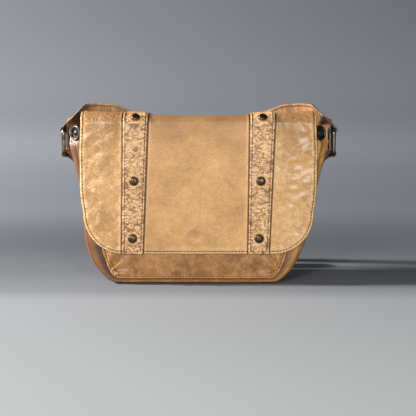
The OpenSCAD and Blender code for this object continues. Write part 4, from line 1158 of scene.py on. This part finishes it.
# The trim straps' pebbled leather, coloured darker and browner
TAB_LEATHER = leather("pebbled_tab_leather", pale="b98650", deep="8c5a2f", worn="c99862",
                      gloss=0.44, crease=5, crease_depth=0.3, grain=2.4)


def round_corner_loop(half_wide, half_high, corner):
    """A rectangle with round corners, as places (across, up) about its middle."""
    out = []
    for sx, sy, start in ((1, 1, 0), (-1, 1, 90), (-1, -1, 180), (1, -1, 270)):
        for a in np.radians(np.linspace(start, start + 90, 10)):
            out.append([sx * (half_wide - corner) + corner * math.cos(a),
                        sy * (half_high - corner) + corner * math.sin(a)])
    return evenly(out + out[:1], LOOP_STEP)[0][:-1]


mid_ring = (RING_LOW + RING_HIGH) / 2
for side, word in ((-1, "left"), (1, "right")):
    loop = round_corner_loop(RING_HALF, (RING_HIGH - RING_LOW) / 2, RING_CORNER)
    path = np.stack([np.full(len(loop), side * RING_X), RING_Y + loop[:, 0],
                     mid_ring + loop[:, 1]], 1)
    ring = swept("ring_wire_" + word, path, [1, 0, 0], RING_WIRE, ANTIQUE_NICKEL, closed=True)
    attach(ring, word + "_ring")
    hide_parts("ring_" + word)


def tab_layers():
    """The folded tab's mid line in x and z, from its outer end round the bar to its inner
    end, with the way out from its grain side."""
    rise, _ = evenly(through(TAB_RISE, 12) * MM, 1.0 * MM)
    way = unit(np.gradient(rise, axis=0))
    out = np.stack([way[:, 1], -way[:, 0]], 1)
    bar = rise[-1]
    left = np.linalg.norm(bar - rise, axis=1)
    wrap = RING_WIRE + 0.1 * MM + TAB_LAYER
    part = TAB_LAYER + (wrap - TAB_LAYER) * np.clip(1 - left / (11 * MM), 0, 1) ** 1.6
    first = rise + out * part[:, None]
    angle = np.linspace(0, math.pi, 22)[1:-1, None]
    turn = out[-1] * np.cos(angle) + way[-1] * np.sin(angle)
    second = (rise - out * part[:, None])[::-1]
    line = np.concatenate([first, bar + wrap * turn, second])
    return line, np.concatenate([out, turn, -out[::-1]]), len(rise)


tab_line, tab_face, tab_front_rows = tab_layers()
tab_run = lengths(tab_line)
for side, word in ((-1, "left"), (1, "right")):
    across = spaced(2 * TAB_HALF, NEAR_EDGE[:9], 1.6 * MM) - TAB_HALF
    end = np.minimum(tab_run, tab_run[-1] - tab_run)
    narrow = 1 - 0.16 * np.clip(1 - end / (4 * MM), 0, 1) ** 2
    y, run = np.meshgrid(across, tab_run)
    off = np.minimum(TAB_HALF - np.abs(y), np.minimum(run, tab_run[-1] - run) + 0.4 * MM)
    lift = (TAB_LAYER - 0.55 * MM * np.clip(1 - off / (1.0 * MM), 0, 1) ** 2
            - 0.25 * MM * bump_at(off, TRIM_ROW, 0.5 * MM)
            + 0.5 * trim_pebbles(y, run, 60 + side) * np.clip((off - MM) / (2 * MM), 0, 1))
    y = y * narrow[:, None]
    outer = np.stack([side * (tab_line[:, :1] + tab_face[:, :1] * lift), RING_Y + y,
                      tab_line[:, 1:] + tab_face[:, 1:] * lift], -1)
    inner = np.stack([side * (tab_line[:, :1] - tab_face[:, :1] * TAB_LAYER) + y * 0, RING_Y + y,
                      tab_line[:, 1:] - tab_face[:, 1:] * TAB_LAYER + y * 0], -1)
    tab = sheet("side_tab_leather_" + word, outer, inner, [TAB_LEATHER, EDGE_INK, RAW_SIDE],
                np.stack([y, run, y * 0 + side], -1))
    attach(tab, "bag")
    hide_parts("side_tab_" + word)
    face = tab_face[2:tab_front_rows - 9]
    place = tab_line[2:tab_front_rows - 9] + face * (TAB_LAYER - 0.15 * MM)
    away = np.stack([side * face[:, 0], face[:, 0] * 0, face[:, 1]], 1)
    rows = [(np.stack([side * place[:, 0], np.full(len(place), RING_Y + edge * TAB_ROW_Y),
                       place[:, 1]], 1), away) for edge in (-1, 1)]
    stitches("side_tab_stitches_" + word, rows, DARK_THREAD, "bag")

# Shoulder strap. A flat strap of bridle leather in two parts: the long part ends in a tongue,
# and the short part carries the buckle. From the rings it rises over the gussets, and then
# stands on edge behind the bag, where it is buckled.

STRAP_HALF = 14 * MM
STRAP_THICK = 2.6 * MM
STRAP_ROW = 2.8 * MM
STRAP_SHADE_LINED = 56 * MM
RUN_Y = 46.44 * MM
RUN_GAP = 24 * MM
RUN_Z = 14.4 * MM
STRAP_START = 165.95 * MM
BUCKLE_X, BUCKLE_Y, BUCKLE_Z = -65.54 * MM, 94.44 * MM, 17.9 * MM
BUCKLE_REACH = 22 * MM
TONGUE_Y, DIP_Y = 99.94 * MM, 90.99 * MM
SHORT_TURN_X, SHORT_END_X = -33.06 * MM, -61.64 * MM
TONGUE_TURN_X, TONGUE_END_X = -46.7 * MM, -27.84 * MM
TIP_LONG = 12 * MM
# The strap's routes, as route_place takes them: over the gusset and down behind the flap, and
# then each part's way behind the bag
ARC = [[1.220, -1.50, 0.918, -0.25, -0.95, 0.05], [1.192, -1.26, 0.934, -0.45, -0.80, 0.35],
       [1.151, -0.79, 0.940, -0.42, -0.50, 0.70], [1.099, -0.21, 0.938, -0.24, 0, 0.95],
       [1.0216, 0.03, 0.940, -0.12, -0.04, 0.98], [0.9224, 0.12, 0.937, -0.03, -0.03, 1],
       [0.776, 0.15, 0.922, 0, 0, 1]]
SHORT_FALL = [[0.517, 0.45, 0.820], [0.31, 0.85, 0.635], [0.16, 1.4, 0.40],
              [0.06, 1.85, 0.20], [-0.045, 2, 0.075], [-0.165, 2, 0.026]]
LONG_FALL = [[-0.517, 0.20, 0.826], [-0.26, 0.17, 0.668], [0, 0.13, 0.46],
             [0.24, 0.07, 0.25], [0.44, 0.02, 0.092], [0.60, 0, 0.010], [0.73, 0, 0],
             [0.815, 0.14, 0], [0.85, 0.5, 0], [0.815, 0.86, 0], [0.72, 1, 0],
             [0.36, 1, 0], [0, 1, 0], [-0.36, 1, 0],
             [-0.72, 1, 0], [-0.815, 1.12, 0.008], [-0.85, 1.46, 0.0206]]

# Bridle leather is firm and full of wax: smooth and even, with wide soft creases
STRAP_LEATHER = leather("bridle_leather_strap", pale="c99258", deep="a06c3c", worn="dcae78",
                        gloss=0.40, crease=10, mottle=30)
# A thin, finely grained leather, painted near black as the shade under the strap by its rings
# and inside its folds, and worn a little brown
STRAP_SHADE_LINING = leather("strap_lining_painted_shade", pale="33271f", deep="1d1613", worn="4a3a2e",
                       gloss=0.42, crease=6, grain=2.0)


def route_place(share):
    """A place on the strap's route: shares of the panel's half width, the gap between the
    runs and the body's height, then the way the width points and how square it is kept."""
    x, y, z = PANEL_HALF * share[0], RUN_Y + RUN_GAP * share[1], RUN_Z + BODY_HIGH * share[2]
    return [x, y, z] + (list(share[3:]) + [0] if len(share) > 3 else [0, 0, 1, 1])


def flipped(share):
    """The same place on the other side of the bag."""
    return [-n if i in (0, 3) else n for i, n in enumerate(share)]


def on_run(x, y):
    """A place on the buckled run, where the strap stands on edge."""
    return [x, y, BUCKLE_Z, 0, 0, 1, 1]


def strap_lines(stations):
    """The strap's middle line with its width and its grain side's directions."""
    line, run = evenly(through(stations, 10), 1.6 * MM)
    middle = line[:, :3]
    along = unit(np.gradient(middle, axis=0))
    wide = line[:, 3:6]
    wide = unit(wide - along * np.sum(wide * along, axis=1, keepdims=True) * line[:, 6:7])
    return middle, wide, unit(np.cross(along, wide)), run


def strap_mesh(name, stations, grain, tip=0.0):
    """A doubled strap with rounded, inked edges and a stitch groove inside each edge on both
    faces. Near its ring its back is a near-black lining, painted shade where it passes over the
    gusset, and its far end comes to a rounded point over the length tip."""
    middle, wide, out, run = strap_lines(stations)
    out = out * grain
    across = spaced(2 * STRAP_HALF, NEAR_EDGE[:10], 2.2 * MM) - STRAP_HALF
    u, v = np.meshgrid(across, run)
    left = np.clip((run[-1] - run) / max(tip, 1e-6), 0, 1)[:, None]
    point = np.sqrt(np.clip(1 - (1 - left) ** 2, 0.0025, 1)) if tip else np.ones_like(left)
    off = np.minimum(STRAP_HALF - np.abs(u), run[-1] - v + 0.3 * MM)
    groove = bump_at(off, STRAP_ROW, 0.5 * MM)
    lift = (STRAP_THICK / 2 - 0.6 * MM * np.clip(1 - off / (1.1 * MM), 0, 1) ** 2
            - 0.35 * MM * groove + 0.18 * MM * rumple(u, v, 14 * MM, 71))
    # Paler along the rounded edges, and darker in the stitch grooves: painted shade
    wear_and_shade = 0.5 * bump_at(off, 1.3 * MM, 0.7 * MM) - 0.7 * groove
    spread = middle[:, None] + wide[:, None] * (u * point)[:, :, None]
    # The back of the strap's first length is the near-black lining: painted shade
    shade_lined = np.where(run[:-1] < STRAP_SHADE_LINED, 3, 0)
    made = sheet(name, spread + out[:, None] * lift[:, :, None],
                 spread - out[:, None] * lift[:, :, None],
                 [STRAP_LEATHER, EDGE_INK, RAW_SIDE, STRAP_SHADE_LINING],
                 np.stack([u, v, u * 0 + grain], -1), wear_and_shade, shade_lined)
    rows = []
    keep = slice(4, -max(4, int(tip / (1.6 * MM))))
    for edge in (-1, 1):
        for face in (-1, 1):
            path = middle + wide * edge * (STRAP_HALF - STRAP_ROW) \
                + out * face * (STRAP_THICK / 2 - 0.2 * MM)
            rows.append((path[keep], out[keep] * face))
    return made, rows


def strap_bend(side):
    """Where the strap passes from moving with its ring to lying on the bag."""
    return dict(start=(side * 143.5 * MM, 8 * MM, 166 * MM),
                end=(side * 126 * MM, 39 * MM, 166 * MM))


short_route = [[RING_X, RING_Y, STRAP_START, 0, -1, 0, 0]] \
    + [route_place(s) for s in ARC + SHORT_FALL] \
    + [on_run(SHORT_TURN_X, BUCKLE_Y), on_run(SHORT_END_X, BUCKLE_Y)]
short_strap, short_rows = strap_mesh("strap_short_leather", short_route, 1)
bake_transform(short_strap)
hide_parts("strap_end_right", "strap_short")
long_route = [[-RING_X, RING_Y, STRAP_START, 0, -1, 0, 0]] \
    + [route_place(flipped(s)) for s in ARC] + [route_place(s) for s in LONG_FALL] \
    + [on_run(BUCKLE_X - 1.2 * BUCKLE_REACH, DIP_Y), on_run(BUCKLE_X - BUCKLE_REACH, DIP_Y),
       on_run(BUCKLE_X - 0.45 * BUCKLE_REACH, (DIP_Y + TONGUE_Y) / 2),
       on_run(BUCKLE_X, TONGUE_Y), on_run(TONGUE_TURN_X, TONGUE_Y),
       on_run(TONGUE_END_X, TONGUE_Y)]
long_strap, long_rows = strap_mesh("strap_long_leather", long_route, -1, tip=TIP_LONG)
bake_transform(long_strap)
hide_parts("strap_end_left", "strap_long", "strap_tongue")
stitches("strap_short_stitches", short_rows, DARK_THREAD, ("right_ring", "bag", strap_bend(1)))
stitches("strap_long_stitches", long_rows, DARK_THREAD, ("left_ring", "bag", strap_bend(-1)))

# Strap loops. Each end of the strap goes on as a folded loop round its ring's upper bar, with
# a short tail that lies under the strap.

LOOP_HALF = 13.16 * MM
LOOP_THICK = 2.2 * MM
LOOP_TAIL = 7 * MM


def folded(name, path, centre, half, thick, body, nodes, side=1, upright=False):
    """A strap end bent along a path (out, up) round a bar, or round an upright bar."""
    path, run = evenly(path, 0.7 * MM)
    way = unit(np.gradient(path, axis=0))
    out = np.stack([-way[:, 1], way[:, 0]], 1)
    across = spaced(2 * half, NEAR_EDGE[:5], 2 * MM) - half
    a, r = np.meshgrid(across, run)
    thin = thick / 2 - 0.4 * MM * np.clip(1 - (half - np.abs(a)) / MM, 0, 1) ** 2

    def placed(lift):
        u = path[:, :1] + out[:, :1] * lift
        v = path[:, 1:] + out[:, 1:] * lift
        if upright:
            return np.stack([centre[0] + side * u, centre[1] + v, centre[2] + a], -1)
        return np.stack([centre[0] + side * u, centre[1] + a, centre[2] + v], -1)

    # The inner face is the near-black lining: painted shade inside the fold
    piece = sheet(name, placed(thin), placed(-thin), [STRAP_LEATHER, EDGE_INK, STRAP_SHADE_LINING],
                  np.stack([a, r, a * 0 + 2], -1))
    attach(piece, body)
    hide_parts(*nodes)


def arc(radius, first, last):
    """Places (out, up) round a bar from one angle to another, in degrees."""
    angle = np.radians(np.linspace(first, last, 40))
    return np.stack([radius * np.cos(angle), radius * np.sin(angle)], 1)


loop_path = arc(RING_WIRE + 0.1 * MM + LOOP_THICK / 2, 100, -180)
loop_path = np.concatenate([loop_path, loop_path[-1:] + [0, LOOP_TAIL]])
for side, word in ((-1, "left"), (1, "right")):
    folded("strap_loop_leather_" + word, loop_path, (side * RING_X, RING_Y, RING_HIGH),
           LOOP_HALF, LOOP_THICK, word + "_ring", ["strap_loop_" + word], side)

# Buckle. A frame of antiqued nickel wire with a loose prong, both held on one bar by a fold
# of the short strap. The long strap's tongue passes through it.

BUCKLE_WIRE = 1.75 * MM
BUCKLE_HALF = 15.95 * MM
PRONG_R, PRONG_LONG = 1.3 * MM, 23.6 * MM
frame_loop = round_corner_loop(BUCKLE_REACH / 2, BUCKLE_HALF, 2.2 * MM)
frame_path = np.stack([BUCKLE_X - BUCKLE_REACH / 2 + frame_loop[:, 0],
                       np.full(len(frame_loop), BUCKLE_Y), BUCKLE_Z + frame_loop[:, 1]], 1)
buckle = swept("buckle_frame_wire", frame_path, [0, 1, 0], BUCKLE_WIRE, ANTIQUE_NICKEL,
               closed=True)
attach(buckle, "bag")
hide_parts("buckle_frame")

# The prong is bent round the bar, and then runs straight over the far side of the frame
bend = np.radians(np.linspace(-200, 90, 30))
bend_r = BUCKLE_WIRE + 0.1 * MM + PRONG_R
reach = np.linspace(MM, PRONG_LONG, 26)
prong_path = np.stack([BUCKLE_X + np.concatenate([bend_r * np.cos(bend), -reach]),
                       BUCKLE_Y + np.concatenate([bend_r * np.sin(bend), reach * 0 + bend_r]),
                       np.full(len(bend) + len(reach), BUCKLE_Z)], 1)
prong = swept("buckle_prong_wire", prong_path, [0, 0, 1], PRONG_R, ANTIQUE_NICKEL)
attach(prong, "prong")
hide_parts("buckle_prong")

# Keepers. Two bands of the strap's leather hold the tongue down. The first is sewn fast beside
# the buckle, and the second slides on the doubled strap.

KEEPER_WIDE, KEEPER_WALL = 8 * MM, 1.56 * MM
KEEPER_FIXED_X, KEEPER_SLIDING_X = -58.74 * MM, -50.14 * MM
KEEPER_Y = (BUCKLE_Y - STRAP_THICK / 2 - 0.4 * MM, TONGUE_Y + STRAP_THICK / 2 + 0.4 * MM)
KEEPER_Z = (BUCKLE_Z - STRAP_HALF - 0.2 * MM, BUCKLE_Z + STRAP_HALF + 0.4 * MM)
half_y = (KEEPER_Y[1] - KEEPER_Y[0]) / 2 + KEEPER_WALL
half_z = (KEEPER_Z[1] - KEEPER_Z[0]) / 2 + KEEPER_WALL
round_out = round_corner_loop(half_z, half_y, 2.4 * MM)
round_in = round_out * [(half_z - KEEPER_WALL) / half_z, (half_y - KEEPER_WALL) / half_y]
band_across = spaced(KEEPER_WIDE, NEAR_EDGE[:5], 1.2 * MM)
band_off = np.minimum(band_across, KEEPER_WIDE - band_across)
band_pull = 1 - 0.02 * np.clip(1 - band_off / MM, 0, 1) ** 2


def keeper_band(x, loop, pull):
    """One face of a keeper: a closed loop, drawn in a little at both of its edges."""
    loop = np.concatenate([loop, loop[:1]])
    z = sum(KEEPER_Z) / 2 + loop[:, :1] * pull[None, :]
    y = sum(KEEPER_Y) / 2 + loop[:, 1:] * pull[None, :]
    return np.stack([x + band_across[None, :] + 0 * z, y, z], -1)


for name, x, body, node in (
        ("keeper_fixed_leather", KEEPER_FIXED_X, "bag", "strap_keeper_fixed"),
        ("keeper_sliding_leather", KEEPER_SLIDING_X, "keeper", "strap_keeper")):
    a, r = np.meshgrid(band_across, np.arange(len(round_out) + 1) * LOOP_STEP)
    keeper = sheet(name, keeper_band(x, round_out, band_pull),
                   keeper_band(x, round_in, np.ones_like(band_pull)),
                   [STRAP_LEATHER, EDGE_INK, RAW_SIDE], np.stack([a, r, a * 0 + 3], -1))
    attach(keeper, body)
    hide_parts(node)

# Buckle fold. The short strap's end is skived thin and wrapped round the frame's bar, with a
# gap in its middle for the prong.

FOLD_THICK = 1.9 * MM
FOLD_HALF, FOLD_RISE = 5.1 * MM, 8.9 * MM
fold_path = arc(BUCKLE_WIRE + 0.1 * MM + FOLD_THICK / 2, -178, 178)
for word, rise, nodes in (("low", -FOLD_RISE, ["strap_buckle_fold"]), ("high", FOLD_RISE, [])):
    folded("buckle_fold_leather_" + word, fold_path, (BUCKLE_X, BUCKLE_Y, BUCKLE_Z + rise),
           FOLD_HALF, FOLD_THICK, "bag", nodes, upright=True)

# Studio. A seamless sweep of grey paper, graded with painted light and shade: pale near the
# camera, dark under and behind the bag where its shadow lies, and cooler up the wall. A hard lamp
# on the left throws the shadow to the right, and two soft boxes fill the front.

SWEEP_HALF, SWEEP_FRONT = 2.5, 1.6
# The paper's line from the front of the floor up the wall: y and z in metres
SWEEP_LINE = [[-SWEEP_FRONT, 0], [-0.6, 0], [0.3, 0], [0.9, 0], [1.25, 0.03], [1.5, 0.16],
              [1.62, 0.42], [1.66, 0.9], [1.68, 2.2]]
# Each lamp's name, place and size in metres, and its power in watts
LAMPS = (("side_key_lamp", (-2.30, 0.00, 1.20), 0.24, 168),
         ("front_softbox_left", (-0.52, -1.45, 0.60), 0.36, 11.3),
         ("front_softbox_right", (0.44, -1.45, 0.40), 0.26, 9.2))
LAMP_AIM = Vector((0, 0, 0.08))


def paper_with_painted_light(name, stops):
    """Matt paper whose grey changes along the sweep as painted light and shade: stops are metres
    along it and colours.
    """
    made, tree, surface = blank(name)
    along = add(tree, "Attribute", attribute_name="skin").outputs["Vector"]
    run = add(tree, "SeparateXYZ", {"Vector": along}).outputs["Y"]
    first, last = stops[0][0], stops[-1][0]
    share = add(tree, "MapRange", {"Value": run, "From Min": first, "From Max": last})
    ramp = add(tree, "ValToRGB", {"Fac": share.outputs[0]})
    ramp.color_ramp.interpolation = "EASE"
    while len(ramp.color_ramp.elements) < len(stops):
        ramp.color_ramp.elements.new(0.5)
    for spot, (metres, colour) in zip(ramp.color_ramp.elements, stops):
        spot.position = (metres - first) / (last - first)
        spot.color = linear(colour)
    tree.links.new(ramp.outputs["Color"], surface.inputs["Base Color"])
    surface.inputs["Roughness"].default_value = 0.9
    return made


# Painted light and shade: pale near the camera, darkest under and just behind the bag, where its
# shadow lies and the light drops off, paler at the wall's foot and darker again up it
SWEEP_PAINTED_LIGHT = paper_with_painted_light("seamless_paper_painted_light", [
    (-0.41, "929494"), (-0.12, "8c8e90"), (-0.06, "727579"), (0.04, "606367"), (0.20, "52555a"),
    (0.58, "73757b"), (1.30, "84878d"), (1.50, "74767b"), (1.85, "6a6c71")])
sweep_line, sweep_run = evenly(through(SWEEP_LINE, 16), 20 * MM)
sweep_points, sweep_skin = [], []
for (y, z), run in zip(sweep_line, sweep_run - SWEEP_FRONT):
    sweep_points += [[-SWEEP_HALF, y, z], [SWEEP_HALF, y, z]]
    sweep_skin += [[-SWEEP_HALF, run, 0], [SWEEP_HALF, run, 0]]
sweep_faces = [[2 * k, 2 * k + 1, 2 * k + 3, 2 * k + 2] for k in range(len(sweep_line) - 1)]
sweep = finish_mesh("studio_sweep", sweep_points, sweep_faces, [SWEEP_PAINTED_LIGHT],
                    [0] * len(sweep_faces), sweep_skin)

for name, place, size, power in LAMPS:
    light = bpy.data.lights.new(name, "AREA")
    light.energy = power
    light.size = size
    lamp = bpy.data.objects.new(name, light)
    lamp.location = place
    lamp.rotation_euler = (LAMP_AIM - Vector(place)).to_track_quat("-Z", "Y").to_euler()
    bpy.context.collection.objects.link(lamp)

scene = bpy.context.scene
room = bpy.data.worlds.new("studio_air")
room.use_nodes = True
air = room.node_tree.nodes["Background"]
air.inputs["Color"].default_value = linear("c8ccd2")
air.inputs["Strength"].default_value = 0.12
scene.world = room
scene.view_settings.view_transform = "Standard"

# Camera. A long lens about a metre from the bag, a little above its middle and looking down
# by eight degrees, aimed at the middle of its front.

CAMERA_AIM = Vector((0.010, -0.038, 0.0815))
CAMERA_AWAY = 1.032
CAMERA_RISE = math.radians(8)
LENS, SENSOR = 85, 36
optics = bpy.data.cameras.new("camera")
optics.lens = LENS
optics.sensor_width = SENSOR
camera = bpy.data.objects.new("camera", optics)
camera.location = CAMERA_AIM + CAMERA_AWAY * Vector((0, -math.cos(CAMERA_RISE),
                                                     math.sin(CAMERA_RISE)))
camera.rotation_euler = (CAMERA_AIM - camera.location).to_track_quat("-Z", "Y").to_euler()
bpy.context.collection.objects.link(camera)
scene.camera = camera
